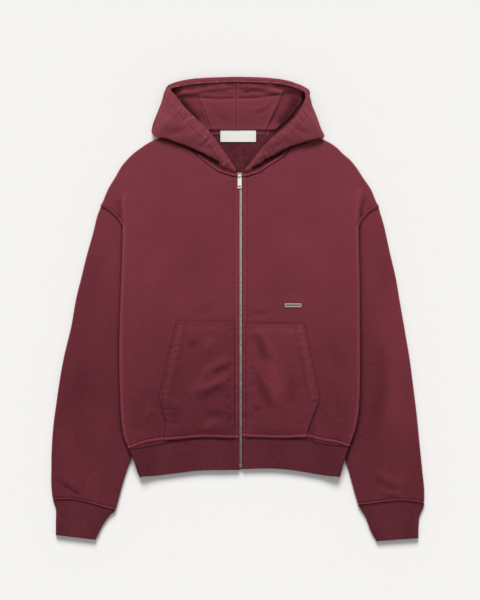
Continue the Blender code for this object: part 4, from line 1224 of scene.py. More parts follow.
@dataclass(frozen=True)
class FrontPanel(HalfPiece):
    """One front: from the zip edge to the fold over the sleeve, or to the armhole seam."""

    facing: float = 9.6         # from the cloth's edge at the zip to the topstitched line
    close: float = 17.0         # width of the closely spaced columns beside the zip
    spread: float = 236.0       # width that the outer columns are spread over
    roll_end: float = 158.0     # level where the fold over the sleeve begins to open flat
    roll_columns: int = 12      # columns round the fold

    @staticmethod
    def levels() -> Array:
        """Rows: close at the waistband seam, at the armhole and round the neck."""
        return steps((SEAM_LEVEL, SEAM_LEVEL + 12, 0.8), (SEAM_LEVEL + 12, 156, 3.2), (156, 210, 1.5),
                     (210, 264, 2.8), (264, 294, 1.1), (294, SHOULDER_TOP_Y, 2.0))

    @staticmethod
    def softness(half: Half, x: Array, y: Array) -> tuple[Array, Array, Array]:
        """Rise of the loose cloth, height of its folds, and the painted light and shade these bring."""
        loose = waves(x, y, 95, 0.9, 2.0 + half.sign) + waves(x, y, 38, 0.28, 5.0 + half.sign)
        return loose, *lay(FRONT_FOLDS[half.side], x, y)

    def row(self, y: float) -> Array:
        """Lays out a row on the middle of the wall, zip or neck edge first.

        Args:
            y: its level.

        Returns:
            Its points.
        """
        half = self.half
        y_edge = float(half.row_y(y, SIDE_X))
        corner, tip = half.corner[1], half.tip[1]
        opened = float(ease((y_edge - self.roll_end) / 8.5))
        rolled = max(1 - opened, float(ease((y_edge - tip + 6) / 8)))
        turns = np.radians(np.linspace(90, -90, self.roll_columns + 1))[1:]
        radius = (FLEECE + float(half.air(y_edge))) / 2
        roll = radius + FLEECE / 2
        rows = []
        for weight, rolls in ((rolled, True), (1 - rolled, False)):
            if weight <= 0:
                continue
            if rolls:
                level = y_edge if y_edge <= self.roll_end or y_edge > tip else min(y_edge, corner)
                level = tip + 0.6 if 185 <= y_edge <= tip else level
                normal = half.fold_normal(level)
                edge = np.array((float(half.edge.at(level)), y_edge))
            else:
                normal = half.armhole_normal()
                seam_x = half.seam_x(float(np.clip(y_edge, corner, tip)))
                edge = np.array((seam_x, y_edge)) - normal * SEAM / 2
            centre = edge - normal * roll
            width = abs(centre[0] - float(half.neck.at(y)))
            places = steps((0, self.close, 1.05), (self.close, self.spread, 3.1))
            spare = np.clip((places - self.close) / (self.spread - self.close), 0, 1)
            x, yy = half.line(y, centre, (places + spare * (width - self.spread)) / width)
            z = half.front_z(x, yy)
            if rolls:
                reach = np.outer(np.cos(turns), normal) * radius + centre
                heights = z[-1] - radius + radius * np.sin(turns)
            else:
                reach = centre + np.outer(np.linspace(0, 1, self.roll_columns + 1)[1:], normal) * roll
                heights = half.front_z(*reach.T)
            outer = np.column_stack((reach, heights))
            rows.append(weight * np.concatenate((np.column_stack((x, yy, z)), outer)))
        return sum(rows)

    def make(self) -> None:
        """Builds the front with its seams, facing and folds."""
        half, levels = self.half, self.levels()
        cloth = ClothGrid(f"front_{half.word}", [self.row(y) for y in levels], turn=half.sign)
        x, y = cloth.plan()
        flat = np.ones(x.shape[1])
        flat[-self.roll_columns:] = np.linspace(0.9, 0.0, self.roll_columns)
        fine = steps((SEAM_LEVEL, SHOULDER_TOP_Y, 1.0))
        inner = np.abs(x - np.interp(levels, fine, half.neck.at(fine))[:, None])
        relief = groove(inner, self.facing, 0.4) + swell(inner, 0.5, self.facing - 1.2, 0.35)
        relief += pucker(y, np.abs(inner - self.facing), 11, 0.5, 8, 3.0 + half.sign) * between(40, -60, y)
        relief += pucker(y, inner, 30, 0.5, 17, 7.0 + half.sign) * between(-20, -60, y)
        relief *= between(272, 263, y)
        seam = y - half.seam_y(x)
        relief += swell(seam, 0.6, 6.2, 1.3)
        relief += groove(seam, SEAM_ROW, 0.7, 1.0) + groove(seam, 0.0, 0.6, 1.0)
        relief += pucker(x, seam, 26, 0.8, 14, 11.0 + half.sign)
        armhole = half.armhole_distance(x, y)
        near = between(half.corner[1] - 6, half.corner[1] + 4, y) * between(207, 199, y)
        near *= between(-3, 4, np.abs(x) - abs(half.corner[0]))
        allowance = swell(armhole, 0.8, 6.4, 0.7)
        relief += near * (groove(armhole, 0.0, 0.9, 1.2) + allowance + groove(armhole, 6.8, 0.6))
        relief += self.neck_relief(x, y)
        loose, folds, tone = self.softness(half, x, y)
        # Painted light and shade: seams lighter on ridges and darker in grooves, a painted highlight along
        # the fold over the sleeve and the shoulder's roll, the armhole's seam allowance a little darker,
        # painted shadow along the pocket's edges and in the slits below the hood, and the folds' painted
        # light and shade.
        cloth.wear += rubbed_and_painted_shade(relief) * flat + self.edge_wear(x, y) - 0.15 * near * allowance
        cloth.wear += 0.5 * (1 - flat) * between(half.tip[1], half.tip[1] + 8, y)
        cloth.wear += tone + lay(PAINTED_SLIT_SHADOWS[half.side], x, y)[1]
        away = np.hypot((x - Badge.centre[0]) / 26, (y - Badge.centre[1]) / 14)
        cloth.raise_by((relief + loose + folds) * flat * ease(away - 0.6))
        cloth.bow_armhole(half)
        cloth.hand_over(self.wardrobe.jersey, "fleece", (0.295, 0.655), ["back"])

    def edge_wear(self, x: Array, y: Array) -> Array:
        """Paints a highlight along the fold over the sleeve, painted shade where it turns under,
        and painted shadow lines along the pocket's edges.

        Args:
            x, y: places in plan.

        Returns:
            The wear there.
        """
        half = self.half
        inside = (half.edge.at(y) - x) * half.sign
        fold = 0.42 * bell(inside - 3.0, 1.9) + 0.12 * bell(inside, 16) - 0.5 * bell(inside, 1.1)
        pocket = (half.pocket_inner - x) * half.sign
        away = np.maximum((x - half.pocket_edge.at(y)) * half.sign, y - half.pocket_top)
        away = np.maximum(away, pocket)
        line = np.where(pocket >= away, 0.2, 0.45) * bell(away - 0.6, 1.5) * (away > -6)
        return between(half.corner[1] + 12, half.corner[1], y) * fold - line

    def neck_relief(self, x: Array, y: Array) -> Array:
        """Shapes the neck seam: a roll over the seam allowance and two stitched lines.

        Args:
            x, y: places in plan.

        Returns:
            The rise there.
        """
        gap = np.full(x.shape, FAR)
        for level in np.concatenate((np.linspace(269.5, 272, 12), np.arange(273, SHOULDER_TOP_Y, 1.2))):
            gap = np.minimum(gap, np.hypot(x - self.half.neck.at(level), y - level))
        return (swell(gap, 0.8, 5.2, 1.3) + groove(gap, 6.2, 1.5, 1.7) + groove(gap, 0.0, 1.5, 1.9)
                + pucker(x, gap, 14, 0.5, 10, 21.0)) * (gap < 60)


@dataclass(frozen=True)
class BackPanel:
    """The back in one piece, under both fronts and over the hidden sleeve edges."""

    wardrobe: Wardrobe
    lip: float = 1.6            # room that its edge leaves inside the front's fold
    side_columns: int = 36
    neck_columns: int = 30

    def last_point(self, half: Half, y: float) -> Array:
        """Finds the outer end of a half row.

        Args:
            half: the half that it is on.
            y: level of the row.

        Returns:
            x and y of the point.
        """
        y = float(half.row_y(y, SIDE_X))
        tip = half.tip[1]
        if half.back_edge.stations[0] <= y <= half.back_edge.stations[-2]:
            return np.array((float(half.back_edge.at(y)), y))
        if half.corner[1] < y < tip + 0.5:
            clear = SEAM / 2 + SEAM + 1.2 * float(between(184, 195, y))
            return np.array((half.seam_x(y), y)) - half.armhole_normal() * clear
        inset = FLEECE + float(half.air(y)) / 2 + self.lip
        return np.array((float(half.edge.at(y)), y)) - half.fold_normal(y) * inset

    @staticmethod
    def neck_y(x: Values) -> Values:
        """Reads the back neck seam between the two neck points.

        Args:
            x: where to read.

        Returns:
            Its level there.
        """
        right, left = (float(half.neck.at(SHOULDER_TOP_Y)) for half in HALVES)
        share = np.abs(x - (left + right) / 2) / ((left - right) / 2)
        return SHOULDER_TOP_Y - 8.0 * (1 - np.clip(share, 0, 1) ** 2)

    def row(self, y: float) -> Array:
        """Lays out a row from the right side to the left.

        Args:
            y: its level.

        Returns:
            Its points.
        """
        sides = []
        for half in HALVES:
            x, yy = half.line(y, self.last_point(half, y), np.linspace(0, 1, self.side_columns))
            sides.append(np.column_stack((x, yy, half.back_z(x, yy))))
        right, left = sides
        strip_x = np.linspace(right[0, 0], left[0, 0], self.neck_columns + 2)[1:-1]
        strip_y = np.interp(strip_x, (right[0, 0], left[0, 0]), (right[0, 1], left[0, 1]))
        strip = np.column_stack((strip_x, strip_y, np.full_like(strip_x, FLEECE / 2)))
        points = np.concatenate((right[::-1], strip, left))
        bend = float(between(300, SHOULDER_TOP_Y, y))
        points[:, 1] -= bend * (SHOULDER_TOP_Y - self.neck_y(points[:, 0]))
        return points

    def make(self) -> None:
        """Builds the back, with terry on the side that shows in the neck."""
        levels = steps((SEAM_LEVEL, 90, 8.0), (90, 180, 2.5), (180, 255, 6.0), (255, SHOULDER_TOP_Y, 2.2))
        cloth = ClothGrid("back", [self.row(y) for y in levels])
        x, y = cloth.plan()
        neck = between(274, 294, y) * between(85, 60, np.abs(x))
        cloth.lift(neck * (waves(x, y, 40, 0.9, 4.0) + 0.45))
        for half in HALVES:
            cloth.bow_armhole(half)
        cloth.hand_over(self.wardrobe.jersey, "fleece", (0.60, 0.66), ["sleeve_right", "sleeve_left"],
                        plan=True)
        mesh = bpy.data.objects["back_cloth"].data
        mesh.materials.append(self.wardrobe.terry)
        for face in mesh.polygons:
            face.material_index = int(face.normal.z > 0.3)


@dataclass(frozen=True)
class RibKnit:
    """Raised ribs of cuffs and waistband."""

    pitch: float = 2.8
    height: float = 0.42

    def relief(self, across: Array, pitch: float, share: Array) -> Array:
        """Rise of the ribs at a distance across them, at a share of their full height."""
        return (np.abs(np.sin(math.pi * across / pitch)) ** 0.7 - 0.6) * self.height * share


@dataclass(frozen=True)
class Waistband:
    """Folded rib band, open at the zip: front, side fold and back in one strip."""

    wardrobe: Wardrobe
    ribs: RibKnit = RibKnit()

    @staticmethod
    def half_row(half: Half, v: float) -> Array:
        """Lays out one half of a row: front, fold and back.

        Args:
            half: the half.
            v: share of the height, from the seam down.

        Returns:
            Its points, from the zip on.
        """
        y_edge = mix(float(half.seam_y(SIDE_X)) - SEAM, float(half.hem.at(200.0)), v)
        normal = half.fold_normal(max(y_edge, -334.0))
        centre = np.array((float(half.edge.at(y_edge)), y_edge)) - normal * (FLEECE + AIR / 2)
        shares = np.linspace(0, 1, 310)
        x = mix(ZIP_X + half.sign * 3.5, centre[0], shares)
        y = mix(mix(half.seam_y(x) - SEAM, half.hem.at(np.abs(x)), v), centre[1], shares ** 3)
        front = np.column_stack((x, y, half.front_z(x, y)))
        back = np.column_stack((x, y, half.back_z(x, y)))
        turns = np.radians(np.linspace(90, -90, 16))[1:-1]
        radius = (front[-1, 2] - back[-1, 2]) / 2
        reach = centre + np.outer(np.cos(turns), normal) * radius
        lip = np.column_stack((reach, (front[-1, 2] + back[-1, 2]) / 2 + radius * np.sin(turns)))
        return np.concatenate((front, lip, back[::-1]))

    def make(self) -> None:
        """Builds the band with its ribs, a puffed upper edge and a folded lower one."""
        depth = np.append(steps((0, 0.1, 0.02), (0.1, 0.92, 0.068)), (0.945, 0.965, 0.985, 1.0))
        rows = [np.concatenate((self.half_row(RIGHT, v), self.half_row(LEFT, v)[::-1])) for v in depth]
        cloth = ClothGrid("waistband", rows, turn=-1)
        x, y = cloth.plan()
        depth = depth[:, None]
        across = np.median(cloth.distance(1), axis=0)
        ends = between(0, 9, across) * between(0, 9, across[-1] - across)
        ribs = self.ribs.relief(across, self.ribs.pitch, ends * (0.35 + 0.65 * between(0.0, 0.12, depth)))
        roll = -0.9 * between(0.05, 0.0, depth) - 0.6 * between(0.965, 1.0, depth)
        soft = waves(x, y, 60, 0.8, 8.0) + waves(x, y * 0.4, 16, 0.35, 9.0)
        # Painted light and shade: ribs lighter on their crests and darker between them, and darker where the
        # edges roll under.
        cloth.wear += 0.25 * ribs + 0.3 * roll
        cloth.raise_by(ribs + roll + soft * between(0, 0.2, depth))
        cloth.lift(0, FLEECE / 2 - 0.25)
        cloth.hand_over(self.wardrobe.rib, "rib", (0.88, 0.075), ["floor"], rounding=0.0, angle=75)


# ---- sleeves and cuffs


SLEEVE_FOLDS = {
    Wearer.RIGHT: (
        ((-262, 150, -284, 96, -300, 40), -0.9, 14, 0.4),
        ((-250, 128, -262, 92, -268, 40), 1.2, 10, 0.45),
        ((-356, -340, -344, -350, -330, -359, -312, -373), -2.2, 3.4, 0.3, -0.6, 0.1),
        ((-364, -330, -352, -336, -340, -346), -0.9, 4),
        ((-258, -300, -282, -322, -300, -352), 1.2, 10, 0.4),
        ((-300, -60, -318, -150, -322, -230), -1.4, 18, 0.45),
        ((-350, -300, -334, -338, -326, -376), 1.6, 8, 0.4),
        ((-262, -150, -270, -230, -284, -290), 1.2, 15, 0.45),
        ((-346, -190, -344, -250, -330, -300), 1.2, 12, 0.45),
        ((-290, 20, -282, -40, -290, -110), 1, 16, 0.45),
    ),
    Wearer.LEFT: (
        ((278, -20, 286, -90, 286, -150, 276, -220, 262, -290), -2.2, 14, 0.35, 0.1, 0.06),
        ((304, -96, 314, -150, 304, -220), 0.7, 15, 0.45),
        ((268, 140, 292, 90, 306, 36), -0.8, 14, 0.4),
        ((256, 118, 268, 84, 272, 30), 1.2, 10, 0.45),
        ((262, -320, 296, -344, 340, -356), -2.2, 9, 0.4, 0.5),
        ((280, -358, 300, -372, 330, -378), -1.8, 6, 0.4),
        ((336, -300, 322, -340, 314, -380), 1.5, 9, 0.45),
        ((330, -60, 338, -140, 342, -220), -1.2, 14, 0.45),
        ((300, 10, 292, -40, 284, -90), 1, 14, 0.45),
    ),
}


@dataclass(frozen=True)
class FlatTube(HalfPiece):
    """A sleeve or cuff: a tube of cloth that lies flat, with a fold on either side."""

    top_columns: int
    base_columns: int
    roll_columns: int = 9

    def section(self, ends: Array, gap: float) -> Array:
        """Lays out a row round the tube: over the top, outer fold, base, inner fold.

        Args:
            ends: outer and inner edge in plan.
            gap: how far the row is moved down along the tube.

        Returns:
            The points, the last on the first.
        """
        outer, inner = ends[:2], ends[2:]
        width = np.linalg.norm(outer - inner)
        origin = inner + square_to(inner, outer, (0, -1)) * gap
        radius, edge = (SLEEVE_HEIGHT - FLEECE) / 2, SLEEVE_HEIGHT / 2
        turns = np.radians(np.linspace(90, -90, self.roll_columns + 2))[1:-1]
        bulge, rise = radius * np.cos(turns), edge + radius * np.sin(turns)
        reach = np.concatenate((np.linspace(edge, width - edge, self.top_columns), width - edge + bulge,
                                np.linspace(width - edge, edge, self.base_columns), edge - bulge[::-1]))
        height = np.concatenate((np.full(self.top_columns, edge + radius), rise,
                                 np.full(self.base_columns, edge - radius), rise[::-1]))
        ring = np.column_stack((origin + np.outer(reach, (outer - inner) / width), height))
        return np.concatenate((ring, ring[:1]))

    def tube(self, kind: str, sections: Sequence, counts: Sequence[int], gap: float) -> ClothGrid:
        """Lays out the whole tube.

        Args:
            kind: sleeve or cuff.
            sections: outer and inner edge at each measured place.
            counts: rows from each to the next.
            gap: room at the first row.

        Returns:
            Its cloth.
        """
        ends = through(np.array(sections, float), counts)
        rows = [self.section(end, 0.0 if n else gap) for n, end in enumerate(ends)]
        return ClothGrid(f"{kind}_{self.half.word}", rows, turn=self.half.sign, closed=True)


@dataclass(frozen=True)
class Sleeve(FlatTube):
    """Sleeve from the armhole seam to the cuff seam."""

    top_columns: int = 66
    base_columns: int = 30
    row_pitch: float = 3.6

    def make(self) -> None:
        """Builds the sleeve with its folds and the gathered edge at the cuff."""
        half = self.half
        sections = ((half.tip[0], half.tip[1] - 1.5, *half.end), *half.sleeve)
        lengths = [math.dist(a[:2], b[:2]) for a, b in zip(sections[1:-2], sections[2:-1])]
        counts = [14, *(max(3, round(run / self.row_pitch)) for run in lengths), 22]
        cloth = self.tube("sleeve", sections, counts, SEAM / 2)
        x, y = cloth.plan()
        z = cloth.points[..., 2]
        along = cloth.distance(0)
        left_over = along[-1:] - along
        upper = between(3.0, 7.0, z)
        folds, tone = lay(SLEEVE_FOLDS[half.side], x, y)
        loose = waves(x, y, 80, 1.1, 12.0 + half.sign) + waves(x, y, 34, 0.35, 14.0 + half.sign)
        gather = pucker(cloth.distance(1), left_over, 34, 1.2, 15, 31.0 + half.sign)
        seam = swell(left_over, 0.5, 6.0, 1.1) + groove(left_over, CUFF_ROW)
        seam += groove(left_over, 0.0, 0.6, 0.8)
        start = groove(along, 0.0, 1.0, 1.0)
        below = self.half.corner[1]
        outside = (x - half.edge.at(np.minimum(y, below))) * half.sign
        shadow = 0.45 * bell(outside, 5.0 + half.sign) * (y < below + 4)   # beside the body's fold
        # Painted light and shade: folds lighter on ridges and darker in troughs, seams lighter on ridges and
        # darker in grooves, painted shadow beside the body's fold, and a painted highlight on the rolled
        # edges.
        cloth.wear += upper * tone + rubbed_and_painted_shade(seam) + rubbed_and_painted_shade(start) - shadow + 0.55 * between(7.7, 5.6, z)
        relief = upper * (loose + folds + start) + (gather + seam) * (0.35 + 0.65 * upper)
        cloth.raise_by(relief * (z >= 2.0))
        cloth.bow_armhole(half)
        cloth.bow_cuff_seam(half)
        cloth.hand_over(self.wardrobe.jersey, "fleece", (0.40, 0.62), ["floor"], rounding=0.0)


@dataclass(frozen=True)
class Cuff(FlatTube):
    """Rib cuff, a short tube that draws the sleeve in."""

    top_columns: int = 190
    base_columns: int = 120
    roll_columns: int = 13
    ribs: RibKnit = RibKnit()

    def make(self) -> None:
        """Builds the cuff with its ribs and its folded end."""
        half = self.half
        cloth = self.tube("cuff", half.cuff, (5, 5, 7, 8), SEAM)
        x, y = cloth.plan()
        around = np.median(cloth.distance(1), axis=0)
        depth = np.linspace(0, 1, len(x))[:, None]
        roll = -1.0 * between(0.08, 0.0, depth) - 0.8 * between(0.95, 1.0, depth)
        soft = waves(x, y, 40, 0.8, 17.0 + half.sign) * between(3.0, 7.0, cloth.points[..., 2])
        pitch = around[-1] / round(around[-1] / self.ribs.pitch)
        ribs = self.ribs.relief(around, pitch, 0.4 + 0.6 * between(0, 0.15, depth))
        # Painted light and shade: ribs lighter on their crests and darker between them, and darker where the
        # ends roll under.
        cloth.wear += 0.35 * ribs + 0.25 * roll
        cloth.raise_by(ribs + roll * 0.6 + soft)
        cloth.lift(0, FLEECE / 2 - 0.25)
        cloth.bow_cuff_seam(half)
        cloth.hand_over(self.wardrobe.rib, "rib", (0.25, 0.08), ["floor"], rounding=0.0, angle=75)


# ---- pockets


POCKET_FOLDS = {
    Wearer.RIGHT: (
        ((-11, -136, -36, -144, -60, -157, -84, -168), 1.9, 8, 0.35),
        ((-12, -152, -40, -163, -66, -176, -94, -184), -1.7, 11, 0.4),
        ((-10, -98, -34, -106, -60, -122, -78, -146), 1.6, 8, 0.35),
        ((-12, -118, -32, -122, -52, -134), -1.6, 6, 0.35),
        ((-46, -52, -58, -70, -62, -92), 1.4, 9, 0.4),
        ((-20, -206, -46, -214, -70, -210), -1.5, 8, 0.4),
        ((-78, -62, -90, -72, -98, -84), -1.6, 8, 0.4),
        ((-66, -130, -84, -160, -104, -176), 1.6, 12, 0.45),
        ((-30, -214, -58, -232, -80, -246), 1.5, 10, 0.4),
        ((-110, -190, -124, -214, -134, -240), -1.4, 9, 0.4),
        ((-10, -112, -22, -111), -1.6, 3.5),
        ((-10, -144, -24, -142), -1.7, 3.5),
        ((-10, -176, -26, -175), -1.8, 3.5),
        ((-10, -196, -24, -199), -1.6, 3.5),
        ((-10, -219, -22, -222), -1.5, 3.5),
    ),
    Wearer.LEFT: (
        ((28, -48, 42, -68, 52, -92, 62, -116), -2.6, 9, 0.35, 0.4),
        ((31, -122, 46, -156, 58, -181, 74, -215), -2.2, 9, 0.35, 0.5),
        ((30, -196, 48, -206), -1.6, 6, 0.4),
        ((66, -92, 78, -150, 92, -196), 1.6, 12, 0.4),
        ((104, -120, 110, -160, 108, -206), -1.2, 10, 0.4),
        ((22, -116, 36, -122), -1.5, 4, 0.4),
        ((22, -150, 36, -153), -1.2, 4, 0.4),
    ),
}


@dataclass(frozen=True)
class Pocket(HalfPiece):
    """Half of the split patch pocket, laid on its front panel."""

    wall: float = 2.4
    hem: float = 21.0
    width: float = 140.0
    height: float = 236.0
    base: float = -262.0
    top_rows: Pair = (2.6, 8.0)     # stitched rows below the upper edge

    def make(self) -> None:
        """Builds the pocket with the double stitched hem of its opening."""
        half, top = self.half, self.half.pocket_top
        shares = 1 - steps((0, 27, 0.95), (27, self.width, 2.6))[::-1] / self.width
        rows = []
        for v in steps((0, 12, 1.0), (12, 224, 2.6), (224, self.height, 1.0)) / self.height:
            x = mix(half.pocket_inner, float(half.pocket_edge.at(mix(self.base, top, v))), shares)
            y = mix(half.seam_y(x) + SEAM, top, v)
            rows.append(np.column_stack((x, y, half.front_z(x, y))))
        cloth = ClothGrid(f"pocket_{half.word}", rows, turn=half.sign)
        x, y = cloth.plan()
        loose, folds, _ = FrontPanel.softness(half, x, y)
        cloth.lift(FLEECE / 2 + SEAM + self.wall / 2 + np.maximum(loose + folds, -0.1))
        slant = math.cos(math.atan(34 / 150))
        opening = np.abs(half.pocket_edge.at(y) - x) * slant
        below, seam, inner = top - y, y - half.seam_y(x), np.abs(x - half.pocket_inner)
        upper = between(-243, -230, y)
        open_part = between(half.tack_y - 4, half.tack_y + 4, y)
        relief = (groove(opening, self.hem, 0.32) + groove(opening, self.hem - 5.0, 0.2, 0.8)) * open_part
        relief += groove(opening, 2.6, 0.35, 0.8) * upper
        relief += swell(opening, 3.2, self.hem - 5.6, 0.35) * mix(0.4, 1, open_part) * upper
        relief += groove(below, self.top_rows[0], 0.3, 0.8) + groove(below, self.top_rows[1], 0.25, 0.8)
        relief += swell(seam, 0.6, 6.2, 1.2) + groove(seam, SEAM_ROW, 0.6, 1.0)
        # Painted light and shade: seams and hems lighter on ridges and darker in grooves, and a painted
        # highlight along the opening's edge and the top edge.
        cloth.wear += rubbed_and_painted_shade(relief) + 0.13 * bell(np.minimum(opening, below), 1.8)
        gathers = pucker(y, np.abs(opening - self.hem / 2), 10, 1.2, 7, 41.0 + half.sign) * upper
        gathers += pucker(x, below, 7, 0.8, 8, 42.0 + half.sign)
        relief += gathers + pucker(x, seam, 26, 0.9, 15, 43.0 + half.sign)
        relief += pucker(y, inner, 34, 1.1, 16, 45.0 + half.sign) + waves(x, y, 46, 0.7, 47.0 + half.sign)
        folds, tone = lay(POCKET_FOLDS[half.side], x, y)
        # Painted light and shade of gathers and folds, and the pocket on the wearer's left painted a little
        # lighter than the right.
        cloth.wear += 0.12 * gathers + 2.0 * tone + 0.05 * half.sign
        relief += 1.4 * folds * between(0, 4, inner) * between(0, 12, opening)
        puff = between(0, 26, inner) * between(0, 26, opening)
        puff *= between(0, 22, below) * between(0, 22, seam)
        cloth.lift(np.maximum(relief + 2.6 * puff, -0.25))
        cloth.hand_over(self.wardrobe.jersey, "fleece", (0.158, 0.24), [f"front_{half.word}"],
                        wall=self.wall, rounding=0.8)


# ---- hood


HOOD_FOLDS = {
    Wearer.RIGHT: (
        ((-160, 352, -140, 372, -120, 392), 2, 9, 0.45),
        ((-150, 346, -118, 352, -92, 362), -1.8, 7, 0.4),
        ((-104, 334, -84, 348, -66, 360), 1.4, 7, 0.4),
        ((-60, 310, -46, 322, -36, 336), -1.2, 6, 0.4),
        ((-152, 396, -134, 384, -112, 372), -1.4, 8, 0.4),
        ((-88, 326, -64, 322, -44, 318), -1.2, 6, 0.4),
    ),
    Wearer.LEFT: (
        ((164, 350, 150, 376, 136, 402), 1.8, 8, 0.45),
        ((154, 344, 128, 352, 104, 362), -1.8, 7, 0.4),
        ((112, 336, 92, 346, 74, 352), 1.4, 7, 0.4),
        ((66, 304, 54, 316, 44, 328), -1.2, 6, 0.4),
        ((140, 368, 130, 392, 126, 412), -1.4, 6, 0.4),
        ((96, 330, 70, 322, 50, 312), -1.1, 6, 0.4),
    ),
}

LINING_FOLDS = (
    ((-76, 422, -68, 391, -56, 363, -50, 350), 2.4, 4.5, 0.1),
    ((91, 430, 66, 381, 52, 345), 2.4, 4.5, 0.1),
    ((-127, 426, -60, 437, -4, 444), 2, 5, 0.1),
    ((-4, 444, 40, 441, 92, 429), 2, 5, 0.1),
    ((-76, 421, -40, 419, -4, 420), -2.2, 3.6, 0.1),
    ((-4, 420, 40, 421, 90, 429), -2.4, 3.6, 0.1),
    ((88, 427, 60, 400, 30, 384), -1.1, 5),
    ((86, 424, 50, 400, 16, 396), 0.8, 5, 0.4),
    ((-60, 410, -40, 386, -16, 372), -0.8, 6, 0.4),
    ((10, 430, 18, 431, 27, 434), -1.4, 3, 0.4),
)

# Painted shade in the lining's hollows and along its upper edge.
LINING_PAINTED_SHADE = (
    ((-122, 424, -108, 408, -90, 384, -74, 366), -0.9, 10, 0.2),
    ((118, 424, 106, 396, 84, 364), -0.7, 13, 0.1),
    ((-130, 446, -60, 451, -4, 453), -0.5, 4, 0.1),
    ((-4, 453, 60, 451, 120, 440), -0.5, 4, 0.1),
)


@dataclass(frozen=True)
class Hood(HalfPiece):
    """Half of the hood: flap over the shoulder, rolled rim and the floor layer."""

    hem: float = 20.0           # stitched rows from the opening's edge
    edge_row: float = 3.0
    gap: float = 2.1            # how far the slit below the flap opens, in plan
    columns: tuple[int, ...] = (4, 5, 6, 16, 24)     # steps between the points of the wall

    def neck_knots(self) -> Array:
        """Follows the neck seam from the zip to the centre of the back neck.

        Returns:
            Points of the seam.
        """
        half = self.half
        levels = (271, 274, 277.5, 283.5, 290, 299, 309.5, 322, 335, 350, SHOULDER_TOP_Y)
        seam = [(float(half.neck.at(y)), y) for y in levels]
        knots = []
        for (x, y), before, after in zip(seam, (seam[0], *seam), (*seam[1:], seam[-1])):
            away = mix(1.6 * SEAM, FLEECE / 2 + 2 * SEAM, float(between(297, 322, y)))
            z = float(half.front_z(x, y)) + 0.4 * float(between(300, SHOULDER_TOP_Y, y))
            place = np.array((x, y)) + square_to(before, after, (-half.sign, 0)) * away
            if y == SHOULDER_TOP_Y:
                place = np.array((x - half.sign * away, y + away))
            knots.append((*place, z))
        for x in mix(seam[-1][0], HOOD_SEAM_X + half.sign * SEAM / 2, np.array((0.25, 0.5, 0.75, 1.0))):
            knots.append((x, BackPanel.neck_y(x) + SEAM, FLEECE / 2))
        return np.array(knots)

    @staticmethod
    def gape(station: Values) -> Values:
        """How far the slit below the flap stands open, from 0 to 1."""
        return between(2.3, 4.0, station) * between(9.5, 7, station)

    def rows(self, stations: Array) -> list[Array]:
        """Lays out the wall of the hood from the neck seam to the edge of its opening.

        Args:
            stations: places of the rows, as in HOOD_HEIGHTS.

        Returns:
            The points of each row.
        """
        knots = self.neck_knots()
        table = np.array(HOOD_HEIGHTS)
        keys, wall = table[:, 0], np.dstack((np.reshape(self.half.hood, (-1, 5, 2)), table[:, 1:]))
        rows = []
        for s in stations:
            i = min(int(np.searchsorted(keys[1:], s)), len(keys) - 2)
            n = min(int(s), len(knots) - 2)
            around = [knots[np.clip(n + k, 0, len(knots) - 1)] for k in (-1, 0, 1, 2)]
            four = [wall[np.clip(i + k, 0, len(keys) - 1)] for k in (-1, 0, 1, 2)]
            share = (s - keys[i]) / (keys[i + 1] - keys[i])
            spine = np.vstack((catmull(*around, s - n), catmull(*four, share)))
            spine[2:5, 1] += self.gap * float(self.gape(s)) * np.array((1.0, 1.0, 0.5))
            rows.append(through(spine, self.columns))
        return rows

    def make(self) -> None:
        """Builds the hood with the hem of its opening."""
        half = self.half
        stations = steps((0, 10, 0.12), (10, 12, 0.05), (12, 13, 0.035), (13, 14, 0.025))
        cloth = ClothGrid(f"hood_{half.word}", self.rows(stations), turn=-half.sign)
        cloth.lift(0, FLEECE / 2)
        x, y = cloth.plan()
        across, along = cloth.distance(1), cloth.distance(0)
        opening = across[:, -1:] - across
        lifted = between(9.0, 13.0, cloth.points[..., 2])
        relief = groove(opening, self.edge_row, 0.3, 0.8) + groove(opening, self.hem, 0.55, 1.0)
        relief += swell(opening, 3.6, self.hem - 1, 0.35) + groove(opening, 8.5, 1.0, 1.2) * (y > 425)
        gathers = pucker(along, np.abs(opening - 17), 9, 2.2, 7, 51.0 + half.sign)
        gathers += pucker(along, opening, 8, 1.6, 8, 57.0 + half.sign)
        folds, tone = lay(HOOD_FOLDS[half.side], x, y)
        loose = waves(x, y, 55, 1.3, 53.0 + half.sign) + waves(x, y, 22, 0.4, 55.0 + half.sign)
        relief = lifted * ((relief + gathers) * between(0, 12, along) + loose + folds)
        under, place = np.arange(x.shape[1]), stations[:, None]
        # Painted light and shade: the lifted flap painted lighter, with a painted highlight at the opening's
        # edge, folds and gathers lighter on rises and darker in troughs, painted shadow in the slit below the
        # flap and on the low layer at the back neck, darker along the hem's stitched row and in a band just
        # inside the top of the opening, and a painted highlight along the flap's fold at its outer end.
        cloth.wear += (1.2 * tone + 0.16 * gathers + 0.26 + 0.10 * bell(opening - 1.5, 3.0)) * lifted
        cloth.wear += lay(PAINTED_SLIT_SHADOWS[half.side], x, y)[1] + 0.22 * groove(opening, self.hem, 0.55, 1.2)
        cloth.wear -= 0.6 * (1 - lifted) * between(354, 362, y)
        cloth.wear -= 0.35 * between(436, 446, y) * lifted * between(2, 5, opening)
        cloth.wear += 0.4 * bell(under - 15, 1.8) * between(8, 10, place)
        cloth.wear -= 1.1 * between(13.5, 10, under) * between(0.5, 3.5, under) * self.gape(place)
        middle = np.abs(x - HOOD_SEAM_X)
        cloth.raise_by(relief * between(0, 10, middle) + groove(middle, 0.0, 0.5, 1.4) * (y > 440))
        cloth.points[..., 0] = np.where(middle < 0.4, x, cloth.points[..., 0])
        cloth.hand_over(self.wardrobe.jersey, "fleece", (0.27, 0.36), ["back", f"front_{half.word}"],
                        held="folded", rounding=1.0)


